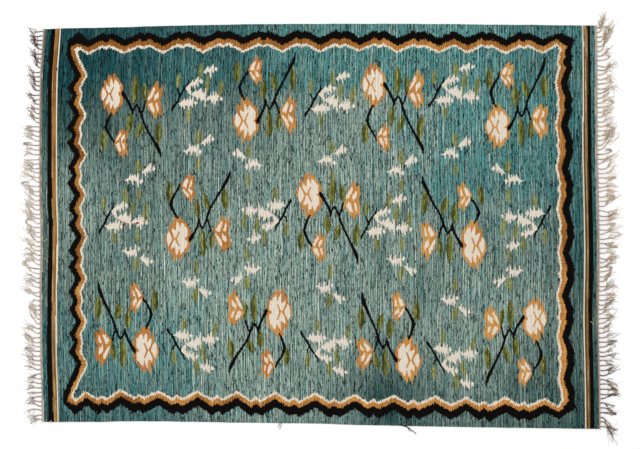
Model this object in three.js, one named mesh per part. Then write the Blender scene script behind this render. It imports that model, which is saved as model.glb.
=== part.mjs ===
import * as THREE from 'three';

// A flatwoven kilim rug lying flat: one woven sheet, with a comb of knotted warp ends at each end.
// Millimetres, +Z up. +X runs along the warps, which is the rug's length, and +Y runs across it.
// The finished group stands on z = 0 with the middle of its footprint on the origin.

const CLOTH_THICKNESS = 3;
const FRINGE_THICKNESS = 2.5;

// The row of knots that each fringe hangs from lies this far from the cloth's last weft.
const KNOT_ROW_GAP = 0.3;
const KNOT_ROW_WIDTH = 6;

const TASSELS_PER_END = 86;
const STEPS_PER_EDGE = 36;

// The corners of the woven sheet. The right end came off the loom wider than the left one.
const CORNERS = {
  nearLeft: new THREE.Vector2(-1191, -843),
  nearRight: new THREE.Vector2(1198, -873),
  farRight: new THREE.Vector2(1182, 862),
  farLeft: new THREE.Vector2(-1186, 847),
};

// How far each edge swells out of the straight line between its corners, going round
// counter-clockwise. "along" is the share of the edge, and "out" is in millimetres.
const EDGE_SWELLS = {
  near: [
    { along: 0.0, out: 0 },
    { along: 0.1, out: -4 },
    { along: 0.19, out: -9 },
    { along: 0.35, out: -8 },
    { along: 0.5, out: -8 },
    { along: 0.54, out: -5 },
    { along: 0.64, out: -3 },
    { along: 0.79, out: -1 },
    { along: 1.0, out: 0 },
  ],
  right: [
    { along: 0.0, out: 0 },
    { along: 0.12, out: 0 },
    { along: 0.27, out: -3 },
    { along: 0.41, out: 3 },
    { along: 0.49, out: 3 },
    { along: 0.62, out: 1 },
    { along: 0.7, out: -1 },
    { along: 0.91, out: 1 },
    { along: 1.0, out: 0 },
  ],
  far: [
    { along: 0.0, out: 0 },
    { along: 0.21, out: 8 },
    { along: 0.36, out: 13 },
    { along: 0.5, out: 15 },
    { along: 0.65, out: 14 },
    { along: 0.79, out: 10 },
    { along: 0.83, out: 7 },
    { along: 0.97, out: 2 },
    { along: 1.0, out: 0 },
  ],
  left: [
    { along: 0.0, out: 0 },
    { along: 0.05, out: 6 },
    { along: 0.1, out: 13 },
    { along: 0.21, out: 16 },
    { along: 0.43, out: 15 },
    { along: 0.48, out: 11 },
    { along: 0.59, out: 10 },
    { along: 0.64, out: 13 },
    { along: 0.74, out: 11 },
    { along: 0.84, out: 9 },
    { along: 0.9, out: 5 },
    { along: 1.0, out: 0 },
  ],
};

// How the tassels lie along each end, counter-clockwise again. "lean" is in degrees towards +Y
// from straight out, and "reach" is the tassel's length in millimetres.
const TASSEL_LIE = {
  left: [
    { along: 0.0, lean: 3, reach: 78 },
    { along: 0.06, lean: 36, reach: 74 },
    { along: 0.12, lean: 34, reach: 76 },
    { along: 0.2, lean: 30, reach: 72 },
    { along: 0.29, lean: 8, reach: 68 },
    { along: 0.4, lean: 24, reach: 72 },
    { along: 0.52, lean: 34, reach: 80 },
    { along: 0.62, lean: 18, reach: 68 },
    { along: 0.72, lean: 24, reach: 70 },
    { along: 0.82, lean: 22, reach: 73 },
    { along: 0.91, lean: 6, reach: 64 },
    { along: 1.0, lean: -6, reach: 60 },
  ],
  right: [
    { along: 0.0, lean: -38, reach: 80 },
    { along: 0.05, lean: -12, reach: 70 },
    { along: 0.12, lean: 14, reach: 68 },
    { along: 0.22, lean: 14, reach: 74 },
    { along: 0.3, lean: 28, reach: 64 },
    { along: 0.4, lean: 14, reach: 76 },
    { along: 0.5, lean: 4, reach: 84 },
    { along: 0.62, lean: 18, reach: 72 },
    { along: 0.75, lean: 26, reach: 78 },
    { along: 0.87, lean: 14, reach: 72 },
    { along: 0.92, lean: 14, reach: 75 },
    { along: 0.96, lean: 44, reach: 70 },
    { along: 1.0, lean: 66, reach: 74 },
  ],
};

// One tassel's half-width at shares of its length: drawn in at the knot, fuller where the
// plies open, and narrow again at the tip. It leaves straight out and then takes its lean.
const TASSEL_PROFILE = [
  { along: 0.0, halfWidth: 2.0, leanShare: 0.0 },
  { along: 0.3, halfWidth: 2.2, leanShare: 0.6 },
  { along: 0.7, halfWidth: 3.4, leanShare: 1.0 },
];
const TASSEL_UNEVENNESS = { lean: 2.5, reach: 4, leanStep: 2.4, reachStep: 4.1 };

function lookUp(rows, column, along) {
  const next = rows.findIndex((row) => row.along >= along);
  if (next <= 0) return rows[0][column];
  const share = THREE.MathUtils.inverseLerp(rows[next - 1].along, rows[next].along, along);
  return THREE.MathUtils.lerp(rows[next - 1][column], rows[next][column], share);
}

function rightOf(direction) {
  return new THREE.Vector2(direction.y, -direction.x).normalize();
}

// One edge of the sheet as a smooth curve, with the cloth on its left.
function swollenEdge(start, end, swells) {
  const run = end.clone().sub(start);
  const outward = rightOf(run);
  const points = swells.map((row) =>
    start.clone().addScaledVector(run, row.along).addScaledVector(outward, row.out));
  return { curve: new THREE.SplineCurve(points), outward };
}

const edges = {
  near: swollenEdge(CORNERS.nearLeft, CORNERS.nearRight, EDGE_SWELLS.near),
  right: swollenEdge(CORNERS.nearRight, CORNERS.farRight, EDGE_SWELLS.right),
  far: swollenEdge(CORNERS.farRight, CORNERS.farLeft, EDGE_SWELLS.far),
  left: swollenEdge(CORNERS.farLeft, CORNERS.nearLeft, EDGE_SWELLS.left),
};

function flatPiece(outline, thickness) {
  return new THREE.ExtrudeGeometry(new THREE.Shape(outline), { depth: thickness, bevelEnabled: false });
}

function woolMaterial(color, roughness) {
  return new THREE.MeshStandardMaterial({ color, roughness, metalness: 0 });
}

function namedMesh(name, geometry, material) {
  const mesh = new THREE.Mesh(geometry, material);
  mesh.name = name;
  return mesh;
}

// The woven sheet: its four edges one after the other, each without its last point,
// which is the next edge's first.
function clothGeometry() {
  const outline = [edges.near, edges.right, edges.far, edges.left]
    .flatMap((edge) => edge.curve.getSpacedPoints(STEPS_PER_EDGE).slice(0, -1));
  return flatPiece(outline, CLOTH_THICKNESS);
}

// The sides of one tassel: down one side, round the tip and back up the other side.
function tasselOutline(base, edge, lie) {
  const across = edge.outward.clone().rotateAround(new THREE.Vector2(), Math.PI / 2);
  const centre = base.clone();
  const before = [];
  const after = [];
  let reached = 0;
  const stepTo = (along, leanShare) => {
    const lean = THREE.MathUtils.degToRad(lie.lean) * leanShare;
    const heading = edge.outward.clone().multiplyScalar(Math.cos(lean));
    heading.y += Math.sin(lean);
    centre.addScaledVector(heading, (along - reached) * lie.reach);
    reached = along;
  };
  for (const row of TASSEL_PROFILE) {
    stepTo(row.along, row.leanShare);
    before.push(centre.clone().addScaledVector(across, -row.halfWidth));
    after.unshift(centre.clone().addScaledVector(across, row.halfWidth));
  }
  stepTo(1, 1);
  return [...before, centre.clone(), ...after];
}

// The fringe of one end: a strip of knots along the cloth, with a tassel from each knot.
function fringeGeometry(edge, lieRows) {
  const inner = edge.curve.getSpacedPoints(STEPS_PER_EDGE)
    .map((point) => point.addScaledVector(edge.outward, KNOT_ROW_GAP));
  const outline = [];
  for (let knot = 0; knot < TASSELS_PER_END; knot += 1) {
    const along = (knot + 0.5) / TASSELS_PER_END;
    const { lean, reach, leanStep, reachStep } = TASSEL_UNEVENNESS;
    const lie = {
      lean: lookUp(lieRows, 'lean', along) + lean * Math.sin(knot * leanStep),
      reach: lookUp(lieRows, 'reach', along) + reach * Math.sin(knot * reachStep),
    };
    const base = edge.curve.getPointAt(along)
      .addScaledVector(edge.outward, KNOT_ROW_GAP + KNOT_ROW_WIDTH);
    outline.push(...tasselOutline(base, edge, lie));
  }
  const startOuter = inner[0].clone().addScaledVector(edge.outward, KNOT_ROW_WIDTH);
  const endOuter = inner[STEPS_PER_EDGE].clone().addScaledVector(edge.outward, KNOT_ROW_WIDTH);
  return flatPiece([startOuter, ...outline, endOuter, ...inner.reverse()], FRINGE_THICKNESS);
}

const clothWool = woolMaterial(0x4f8078, 0.9);
const fringeWool = woolMaterial(0xc2ad97, 0.85);

const rug = new THREE.Group();
rug.add(namedMesh('cloth', clothGeometry(), clothWool));
rug.add(namedMesh('fringe_left', fringeGeometry(edges.left, TASSEL_LIE.left), fringeWool));
rug.add(namedMesh('fringe_right', fringeGeometry(edges.right, TASSEL_LIE.right), fringeWool));

const footprint = new THREE.Box3().setFromObject(rug);
const middle = footprint.getCenter(new THREE.Vector3());
rug.position.set(-middle.x, -middle.y, -footprint.min.z);

export default rug;
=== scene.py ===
import math
import random

import bpy
import numpy as np
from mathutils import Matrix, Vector, noise


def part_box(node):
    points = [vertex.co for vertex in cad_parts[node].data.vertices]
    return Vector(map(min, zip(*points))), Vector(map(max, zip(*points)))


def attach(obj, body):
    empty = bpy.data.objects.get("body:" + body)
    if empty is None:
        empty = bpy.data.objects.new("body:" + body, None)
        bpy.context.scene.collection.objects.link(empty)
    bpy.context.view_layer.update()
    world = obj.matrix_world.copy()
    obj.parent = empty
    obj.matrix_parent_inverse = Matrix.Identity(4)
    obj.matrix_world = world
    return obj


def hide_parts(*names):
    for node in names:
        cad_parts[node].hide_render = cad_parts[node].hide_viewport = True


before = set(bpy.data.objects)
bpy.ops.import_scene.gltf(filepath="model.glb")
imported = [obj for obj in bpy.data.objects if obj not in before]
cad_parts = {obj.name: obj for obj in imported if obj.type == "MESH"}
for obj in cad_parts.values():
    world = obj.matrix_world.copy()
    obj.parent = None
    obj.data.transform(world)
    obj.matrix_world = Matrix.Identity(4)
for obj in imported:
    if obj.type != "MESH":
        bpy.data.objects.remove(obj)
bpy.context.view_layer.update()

bl_info = {
    "name": "Floral kilim rug",
    "version": (1, 0, 0),
    "blender": (4, 5, 0),
    "location": "3D View > Sidebar > Kilim",
    "description": "Weaves a flat kilim with a floral field, a zigzag border and knotted fringes",
    "category": "Object",
}

# Sizes and places are in millimetres, in the frame's axes, until they go into a mesh or a shader.
MM = 0.001

CLOTH_LENGTH = 2394.0
CLOTH_WIDTH = 1711.0
HALF_LENGTH = CLOTH_LENGTH / 2
HALF_WIDTH = CLOTH_WIDTH / 2
WARPS = 684
WARP_PITCH = CLOTH_WIDTH / WARPS

KNOT_ROW_GAP = 0.3
KNOT_ROW_WIDTH = 6.0
TASSELS_PER_END = 86

# How the tassels lie along each end, counter-clockwise round the rug. "lean" is in degrees
# towards +Y from straight out, "reach" is the tassel's length, and "tone" is how pale its yarn is: low where
# it is dirty.
TASSEL_LIE = {
    "left": (
        {"along": 0.0, "lean": 3, "reach": 78, "tone": 0.0},
        {"along": 0.06, "lean": 36, "reach": 74, "tone": 0.0},
        {"along": 0.12, "lean": 34, "reach": 76, "tone": 0.1},
        {"along": 0.2, "lean": 30, "reach": 72, "tone": 0.4},
        {"along": 0.29, "lean": 8, "reach": 68, "tone": 0.85},
        {"along": 0.4, "lean": 24, "reach": 72, "tone": 0.9},
        {"along": 0.52, "lean": 34, "reach": 80, "tone": 0.9},
        {"along": 0.62, "lean": 18, "reach": 68, "tone": 0.9},
        {"along": 0.72, "lean": 24, "reach": 70, "tone": 0.9},
        {"along": 0.82, "lean": 22, "reach": 73, "tone": 0.8},
        {"along": 0.91, "lean": 6, "reach": 64, "tone": 0.6},
        {"along": 1.0, "lean": -6, "reach": 60, "tone": 0.6},
    ),
    "right": (
        {"along": 0.0, "lean": -38, "reach": 80, "tone": 0.1},
        {"along": 0.05, "lean": -12, "reach": 70, "tone": 0.1},
        {"along": 0.12, "lean": 14, "reach": 68, "tone": 0.2},
        {"along": 0.22, "lean": 14, "reach": 74, "tone": 0.35},
        {"along": 0.3, "lean": 28, "reach": 64, "tone": 0.6},
        {"along": 0.4, "lean": 14, "reach": 76, "tone": 0.7},
        {"along": 0.5, "lean": 4, "reach": 84, "tone": 0.8},
        {"along": 0.62, "lean": 18, "reach": 72, "tone": 0.9},
        {"along": 0.75, "lean": 26, "reach": 78, "tone": 0.9},
        {"along": 0.87, "lean": 14, "reach": 72, "tone": 0.9},
        {"along": 0.92, "lean": 14, "reach": 75, "tone": 0.85},
        {"along": 0.96, "lean": 44, "reach": 70, "tone": 0.8},
        {"along": 1.0, "lean": 66, "reach": 74, "tone": 0.8},
    ),
}

# The camera looks straight down on the rug from here.
CAMERA_OVER = Vector((-3.5, 1.35, 3822.0))
CAMERA_LENS = 50.0
CAMERA_SENSOR = 36.0


def linear(channel):
    """One 8-bit screen channel as the light it stands for, from 0 to 1."""
    share = channel / 255
    return share / 12.92 if share <= 0.04045 else ((share + 0.055) / 1.055) ** 2.4


# How bright a perfectly white card looks under the studio light.
WHITE_CARD = 1.12


def dye(name, description, red, green, blue):
    """A colour property that shows as this screen colour under the studio light."""
    shade = tuple(linear(channel) / WHITE_CARD for channel in (red, green, blue))
    return bpy.props.FloatVectorProperty(
        name=name, description=description, subtype="COLOR", size=3, min=0, max=1, default=shade)


def length(name, description, default):
    """A length property in metres, given in millimetres."""
    return bpy.props.FloatProperty(
        name=name, description=description, default=default * MM, min=0, unit="LENGTH", precision=5)


class KilimDyes(bpy.types.PropertyGroup):
    """The colours of the wools."""

    teal_deep: dye("Deep teal", "Blue-green ground where it has kept its colour", 26, 70, 75)
    teal_light: dye("Light teal", "Blue-green ground where it is lightest", 84, 140, 138)
    grey_deep: dye("Deep grey-green", "Faded ground where it is darkest", 58, 88, 84)
    grey_light: dye("Light grey-green", "Faded ground where it is lightest", 144, 164, 153)
    black: dye("Black", "Zigzag line, stems and end stripes", 14, 11, 10)
    gold: dye("Gold", "Zigzag band and end stripes where the dye is light", 207, 145, 74)
    gold_brown: dye("Brown gold", "Zigzag band and end stripes where the dye is dark", 146, 92, 38)
    tan: dye("Tan", "Stripe beside the black one at both ends", 182, 154, 108)
    tan_dark: dye("Dark tan", "The same stripe where the dye is dark", 138, 110, 68)
    brown: dye("Brown", "Narrow line between the gold and cream stripes", 104, 72, 38)
    cream: dye("Cream", "Blossoms, zigzag line and end stripes", 233, 221, 202)
    white: dye("White", "Small flowers", 232, 220, 203)
    orange: dye("Orange", "Edges of the blossoms and buds, right side", 210, 152, 80)
    orange_left: dye("Burnt orange", "Edges of the blossoms and buds, left side", 186, 118, 56)
    olive: dye("Olive", "Dark side of the leaves", 82, 84, 30)
    olive_light: dye("Light olive", "Light side of the leaves", 124, 127, 72)
    olive_pale: dye("Pale olive", "Light side of the leaves beside the white flowers", 140, 144, 92)
    rust: dye("Rust", "Two small spots", 150, 62, 40)
    heading: dye("Heading", "Plain weave beside the knots", 200, 186, 171)
    heading_soil: dye("Soiled heading", "The same weave where it has gone dark", 124, 108, 94)
    fringe: dye("Warp yarn", "Undyed warp ends", 228, 213, 195)
    fringe_warm: dye("Warm warp yarn", "Undyed warp ends of the right end", 228, 207, 180)
    # The dark warp colour is partly real dirt and partly painted shade: the thin shadows between strands and
    # the shade at each knot's foot.
    fringe_dirt_and_shade: dye("Dirty and shaded warp yarn", "Dirty warp ends, and painted shade between strands and at the knots", 84, 62, 42)
    cord: dye("Cord", "The cord twined along both ends", 206, 189, 172)


class KilimCloth(bpy.types.PropertyGroup):
    """Sizes of the woven sheet."""

    thickness: length("Thickness", "Thickness of the weave", 2.8)
    selvedge: length("Selvedge", "Thickness of the weave at its very edge", 0.9)
    weft_band: length("Weft band", "Width of the wefts that are laid in together", 2.6)
    pick: length("Pick", "Distance from one weft to the next", 1.3)
    ripple: length("Ripple", "How far the sheet stands off the floor at most", 2.4)
    sway: length("Sway", "How far the weaver's shapes stray from the chart", 3.2)


class KilimFringe(bpy.types.PropertyGroup):
    """Sizes of the knots and warp ends."""

    strands: bpy.props.IntProperty(
        name="Strands", description="Warp ends tied into each tassel", default=6, min=1)
    fibres: bpy.props.IntProperty(
        name="Fibres", description="Thin fibres that have come loose from each tassel", default=1, min=0)
    yarn: length("Yarn", "Thickness of one warp end", 1.9)
    spread: bpy.props.FloatProperty(
        name="Spread", description="How far the tips of a tassel scatter, as a share of its length",
        default=0.17, min=0, subtype="FACTOR", max=1)
    crimp: length("Crimp", "Height of the waves that the weave leaves in the yarn", 1.5)


def studio_settings(context):
    """The three groups of settings, in the order dyes, cloth and fringe."""
    return context.scene.kilim_dyes, context.scene.kilim_cloth, context.scene.kilim_fringe


# The rug's edges and the way from the chart to the floor


# The points of the cloth's upper face lie no deeper than this below its top.
TOP_FACE_DEPTH = 0.1


def cloth_edges():
    """The cloth's four edges as the frame holds them, as rows of (x, y), counter-clockwise."""
    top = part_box("cloth")[1].z - TOP_FACE_DEPTH * MM
    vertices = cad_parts["cloth"].data.vertices
    rim = {(round(v.co.x / MM, 3), round(v.co.y / MM, 3)) for v in vertices if v.co.z > top}
    outline = sorted(rim, key=lambda point: math.atan2(point[1], point[0]))
    corner_ways = {"near": (-1, -1), "right": (1, -1), "far": (1, 1), "left": (-1, 1)}
    starts = {
        edge: max(range(len(outline)), key=lambda k: outline[k][0] * way[0] + outline[k][1] * way[1])
        for edge, way in corner_ways.items()
    }
    names = list(starts)
    edges = {}
    for name, after in zip(names, names[1:] + names[:1]):
        count = (starts[after] - starts[name]) % len(outline)
        edges[name] = np.array([outline[(starts[name] + k) % len(outline)] for k in range(count + 1)])
    return edges


EDGES = cloth_edges()

# Each pass brings a point nearer to the place that has its shares of the way between the edges.
FLOOR_PASSES = 4


def on_floor(u, v):
    """Where a point of the chart lies: u runs along the warps and v across them, from the middle."""
    near, right, far, left = (EDGES[name] for name in ("near", "right", "far", "left"))
    u_share = 0.5 + np.asarray(u, float) / CLOTH_LENGTH
    v_share = 0.5 + np.asarray(v, float) / CLOTH_WIDTH
    x = (u_share - 0.5) * CLOTH_LENGTH
    for _ in range(FLOOR_PASSES):
        low = np.interp(x, near[:, 0], near[:, 1])
        high = np.interp(x, far[::-1, 0], far[::-1, 1])
        y = low + v_share * (high - low)
        start = np.interp(y, left[::-1, 1], left[::-1, 0])
        end = np.interp(y, right[:, 1], right[:, 0])
        x = start + u_share * (end - start)
    return x, y


# The weaver's chart


YARNS = (
    "ground", "black", "gold", "tan", "brown", "cream", "white", "orange", "olive", "olive_light",
    "olive_pale", "rust", "heading",
)

# How many bands of wefts end at the same place, and how unevenly they end, in warps.
BANDS_PER_TURN = 2
UNEVEN_EDGE = 1.4
UNEVEN_LINE = 0.5

# How a weaver's hand strays from the chart: in slow waves, and in quick ones.
SWAY_WAVES = (
    {"reach": 130, "seed": 3.1, "amount": 1.5},
    {"reach": 38, "seed": 8.7, "amount": 0.6},
)

SCATTER_WEIGHTS = (12.9, 78.2, 37.7)
SCATTER_SCALE = 43758.5

# Stands for no step at all, where a slope is divided by one.
LEAST_STEP = 1e-9


def scatter(*numbers):
    """A number from -1 to 1 that looks random and is always the same for the same numbers."""
    mixed = sum(number * weight for number, weight in zip(numbers, SCATTER_WEIGHTS))
    return 2 * np.modf(np.abs(np.sin(mixed)) * SCATTER_SCALE)[0] - 1


def stray_of_hand(u, v):
    """How far a weaver's hand strays at a place of the chart, along u and along v, as shares."""
    along_u = 0.0
    along_v = 0.0
    for wave in SWAY_WAVES:
        field = noise.noise_vector(Vector((u / wave["reach"], v / wave["reach"], wave["seed"])))
        along_u += wave["amount"] * field.x
        along_v += wave["amount"] * field.y
    return along_u, along_v


class Chart:
    """Shapes of one yarn each, painted over one another and read back one weft at a time."""

    def __init__(self, sway):
        self.sway = sway
        self.shapes = []

    def by_hand(self, points):
        """The points as a weaver lays them: near their place, but never quite on it."""
        moved = []
        for u, v in points:
            along_u, along_v = stray_of_hand(u, v)
            moved.append((u + self.sway * along_u, v + self.sway * along_v))
        return moved

    def paint(self, yarn, points, sway=True, uneven=UNEVEN_EDGE):
        """Fills a closed outline with a yarn, whose wefts end a little unevenly."""
        starts = np.array(self.by_hand(points) if sway else points)
        ends = np.roll(starts, -1, axis=0)
        steps = ends - starts
        steps[steps[:, 0] == 0, 0] = LEAST_STEP
        slopes = steps[:, 1] / steps[:, 0]
        self.shapes.append((YARNS.index(yarn), starts, ends, slopes, uneven))

    def finish(self):
        """Notes how far along the warps each shape reaches, once all are painted."""
        self.lows = np.array([shape[1][:, 0].min() for shape in self.shapes])
        self.highs = np.array([shape[1][:, 0].max() for shape in self.shapes])

    def row(self, u, band):
        """The yarn between each warp and the next along one band of wefts."""
        yarns = np.zeros(WARPS, int)
        for index in np.nonzero((self.lows <= u) & (self.highs > u))[0]:
            yarn, starts, ends, slopes, uneven = self.shapes[index]
            crossed = (starts[:, 0] <= u) != (ends[:, 0] <= u)
            heights = np.sort(starts[crossed, 1] + (u - starts[crossed, 0]) * slopes[crossed])
            turn = band // BANDS_PER_TURN
            turns = uneven * scatter(float(index), float(turn), np.arange(len(heights)))
            warps = np.rint((heights + HALF_WIDTH) / WARP_PITCH + turns).astype(int)
            warps = np.clip(warps, 0, WARPS)
            for low, high in zip(warps[::2], warps[1::2]):
                yarns[low:high] = yarn
        return yarns

    def rows(self, lines):
        """The yarns of every band of wefts, from each of these lines to the next."""
        return [self.row((u + after) / 2, band) for band, (u, after) in enumerate(zip(lines, lines[1:]))]


# How much of each saw tooth is its slanting side.
TOOTH_SLOPE = 0.9


def serrated(points, pitch, depth):
    """A closed outline with saw teeth along it, as slanting edges come out in a tapestry weave."""
    toothed = []
    for (u, v), (next_u, next_v) in zip(points, points[1:] + points[:1]):
        run = math.hypot(next_u - u, next_v - v)
        if run == 0:
            continue
        teeth = max(1, round(run / pitch))
        across = ((v - next_v) / run * depth, (next_u - u) / run * depth)
        for tooth in range(teeth):
            for share, out in ((tooth / teeth, -0.5), ((tooth + TOOTH_SLOPE) / teeth, 0.5)):
                toothed.append((
                    u + (next_u - u) * share + across[0] * out,
                    v + (next_v - v) * share + across[1] * out,
                ))
    return toothed


# The zigzag border: four closed outlines, one inside another, each filled with its own yarn

BORDER_YARNS = ("black", "gold", "cream", "ground")
TOOTH_PITCH = 11.0
TOOTH_DEPTH = 4.6

# How deep each outline lies from the cloth's edge, in the order of BORDER_YARNS: where it turns
# in, at its two peaks between those turns, and in the notch between the peaks.
BORDER_DEPTHS = {
    "top": {"turn": (57, 91, 113, 122), "peak": (27, 60, 82, 92), "notch": (37, 71, 90, 100)},
    "right": {"turn": (124, 156, 171, 180), "peak": (100, 133, 156, 165), "notch": (105, 139, 164, 174)},
    "bottom": {"turn": (70, 107, 126, 136), "peak": (31, 72, 91, 102), "notch": (46, 85, 106, 116)},
    "left": {"turn": (148, 174, 192, 200), "peak": (116, 145, 165, 173), "notch": (139, 159, 174, 181)},
}

# How the top and the bottom draw nearer to the cloth's edge: in all, and for each metre of u.
BORDER_LEAN = {"top": (0.0, 3.0), "bottom": (-1.5, -3.5)}

# Where each side turns in, how the peaks and the notch share the way between two turns, and a
# single peak that a narrow space has instead.
BORDER_TURNS = {
    "top": {
        "turns": (-1000, -845, -678, -503, -328, -162, 1, 174, 340, 515, 639, 806, 965),
        "shares": (0.38, 0.5, 0.62), "lone_peak": 581,
    },
    "right": {
        "turns": (608, 432, 246, 72, -109, -290, -467, -649),
        "shares": (0.37, 0.5, 0.62), "lone_peak": None,
    },
    "bottom": {
        "turns": (-1009, -862, -698, -528, -359, -195, -23, 147, 317, 492, 624, 795, 964),
        "shares": (0.34, 0.47, 0.6), "lone_peak": 558,
    },
    "left": {
        "turns": (648, 478, 305, 128, -53, -235, -421, -604),
        "shares": (0.3, 0.5, 0.69), "lone_peak": None,
    },
}
NARROW_SPACE = 140

# The steps round each corner, clockwise, each with one point for every outline.
BORDER_CORNERS = {
    "top_right": (
        ((1045, 824), (1025, 792), (1027, 776), (1027, 765)),
        ((1106, 794), (1072, 763), (1051, 752), (1041, 746)),
        ((1089, 749), (1058, 742), (1041, 739), (1032, 735)),
        ((1096, 721), (1065, 721), (1043, 721), (1032, 721)),
        ((1092, 700), (1051, 700), (1035, 700), (1027, 700)),
        ((1096, 675), (1065, 675), (1043, 675), (1032, 675)),
    ),
    "bottom_right": (
        ((1096, -704), (1065, -704), (1043, -704), (1032, -700)),
        ((1090, -735), (1064, -722), (1042, -716), (1030, -712)),
        ((1101, -768), (1068, -738), (1049, -730), (1038, -730)),
        ((1025, -818), (1026, -786), (1024, -769), (1021, -760)),
    ),
    "bottom_left": (
        ((-1055, -826), (-1053, -787), (-1053, -770), (-1051, -757)),
        ((-1107, -778), (-1089, -764), (-1074, -748), (-1065, -743)),
        ((-1105, -728), (-1078, -728), (-1067, -728), (-1059, -728)),
    ),
    "top_left": (
        ((-1094, 740), (-1072, 739), (-1053, 739), (-1042, 739)),
        ((-1092, 802), (-1077, 771), (-1062, 761), (-1047, 752)),
        ((-1049, 838), (-1048, 786), (-1040, 773), (-1033, 760)),
    ),
}


def at_depth(side, along, depth):
    """A point of the chart, this far along one side and this deep from its edge."""
    if side in BORDER_LEAN:
        start, slope = BORDER_LEAN[side]
        depth += start + slope * along * MM
    return {
        "top": (along, HALF_WIDTH - depth),
        "right": (HALF_LENGTH - depth, along),
        "bottom": (along, depth - HALF_WIDTH),
        "left": (depth - HALF_LENGTH, along),
    }[side]


def border_side(side, level):
    """One outline along one side, in the order of its turns."""
    depths = {name: row[level] for name, row in BORDER_DEPTHS[side].items()}
    row = BORDER_TURNS[side]
    points = [at_depth(side, row["turns"][0], depths["turn"])]
    for turn, after in zip(row["turns"], row["turns"][1:]):
        if abs(after - turn) < NARROW_SPACE:
            points.append(at_depth(side, row["lone_peak"], depths["peak"]))
        else:
            for share, name in zip(row["shares"], ("peak", "notch", "peak")):
                points.append(at_depth(side, turn + (after - turn) * share, depths[name]))
        points.append(at_depth(side, after, depths["turn"]))
    return points


def paint_border(chart):
    """The four outlines, from the outermost inwards, clockwise from the top left corner."""
    for level, yarn in enumerate(BORDER_YARNS):
        outline = []
        for side, corner, backwards in (
            ("top", "top_right", False), ("right", "bottom_right", False),
            ("bottom", "bottom_left", True), ("left", "top_left", True),
        ):
            points = border_side(side, level)
            outline += reversed(points) if backwards else points
            outline += [step[level] for step in BORDER_CORNERS[corner]]
        chart.paint(yarn, serrated(chart.by_hand(outline), TOOTH_PITCH, TOOTH_DEPTH), sway=False)


# The stripes across both ends, from the last weft inwards, and how wide each is at three places.
STRIPE_PLACES = {"low": -660, "middle": 0, "high": 700}
END_STRIPES = {
    "left": (
        {"yarn": "heading", "low": 3.5, "middle": 7.5, "high": 6.5},
        {"yarn": "ground", "low": 19.5, "middle": 22.5, "high": 23.5},
        {"yarn": "black", "low": 22, "middle": 19.5, "high": 19.3},
        {"yarn": "tan", "low": 7, "middle": 5, "high": 0.5},
        {"yarn": "gold", "low": 5.2, "middle": 9.5, "high": 12.5},
        {"yarn": "brown", "low": 3.6, "middle": 2.6, "high": 4.7},
        {"yarn": "cream", "low": 5.5, "middle": 6, "high": 4.5},
    ),
    "right": (
        {"yarn": "heading", "low": 4.5, "middle": 7.5, "high": 4},
        {"yarn": "ground", "low": 18, "middle": 14.5, "high": 20},
        {"yarn": "black", "low": 16, "middle": 18, "high": 12},
        {"yarn": "brown", "low": 4.5, "middle": 3.5, "high": 3.5},
        {"yarn": "tan", "low": 5.5, "middle": 5, "high": 9},
        {"yarn": "brown", "low": 7.5, "middle": 8, "high": 4.5},
        {"yarn": "cream", "low": 5, "middle": 5, "high": 6},
    ),
}
STRIPE_STEP = 45
STRIPE_WANDER = 1.6
STRIPE_WAVE = 120
STRIPE_SEED = 5.3
STRIPE_OVERLAP = 8


def paint_end_stripes(chart):
    """Straight stripes from edge to edge, each edge wandering a little."""
    steps = round(CLOTH_WIDTH / STRIPE_STEP)
    low = -HALF_WIDTH - STRIPE_OVERLAP
    heights = [low + (CLOTH_WIDTH + 2 * STRIPE_OVERLAP) * k / steps for k in range(steps + 1)]

    def edge(end, stripes):
        """The inner edge of the last of these stripes, or the cloth's own edge if there is none."""
        out = -1 if end == "left" else 1
        wander = STRIPE_WANDER if stripes else 0
        depths = [sum(stripe[place] for stripe in stripes) for place in STRIPE_PLACES]
        points = []
        for v in heights:
            depth = np.interp(v, list(STRIPE_PLACES.values()), depths)
            stray = wander * noise.noise(Vector((len(stripes) * STRIPE_SEED, v / STRIPE_WAVE, out)))
            points.append((out * (HALF_LENGTH - depth + stray), v))
        return points

    for end, stripes in END_STRIPES.items():
        for number, stripe in enumerate(stripes):
            inner = edge(end, stripes[:number + 1])
            chart.paint(stripe["yarn"], edge(end, stripes[:number]) + inner[::-1], sway=False)


# The motifs. Each is drawn about its own origin, upright, and then placed on the chart.

LEAF_PROFILE = (
    {"down": 0.0, "half": 0.0},
    {"down": 0.1, "half": 0.5},
    {"down": 0.26, "half": 0.92},
    {"down": 0.5, "half": 1.0},
    {"down": 0.72, "half": 0.86},
    {"down": 0.9, "half": 0.42},
    {"down": 1.0, "half": 0.0},
)
LEAF_RAG = 0.3
LEAF_RAG_WIDEST = 0.9
ROUND_STEPS = 8
TOOTH_HALF_WIDTH = 4.8
TOOTH_LEAN = 1.6


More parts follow.
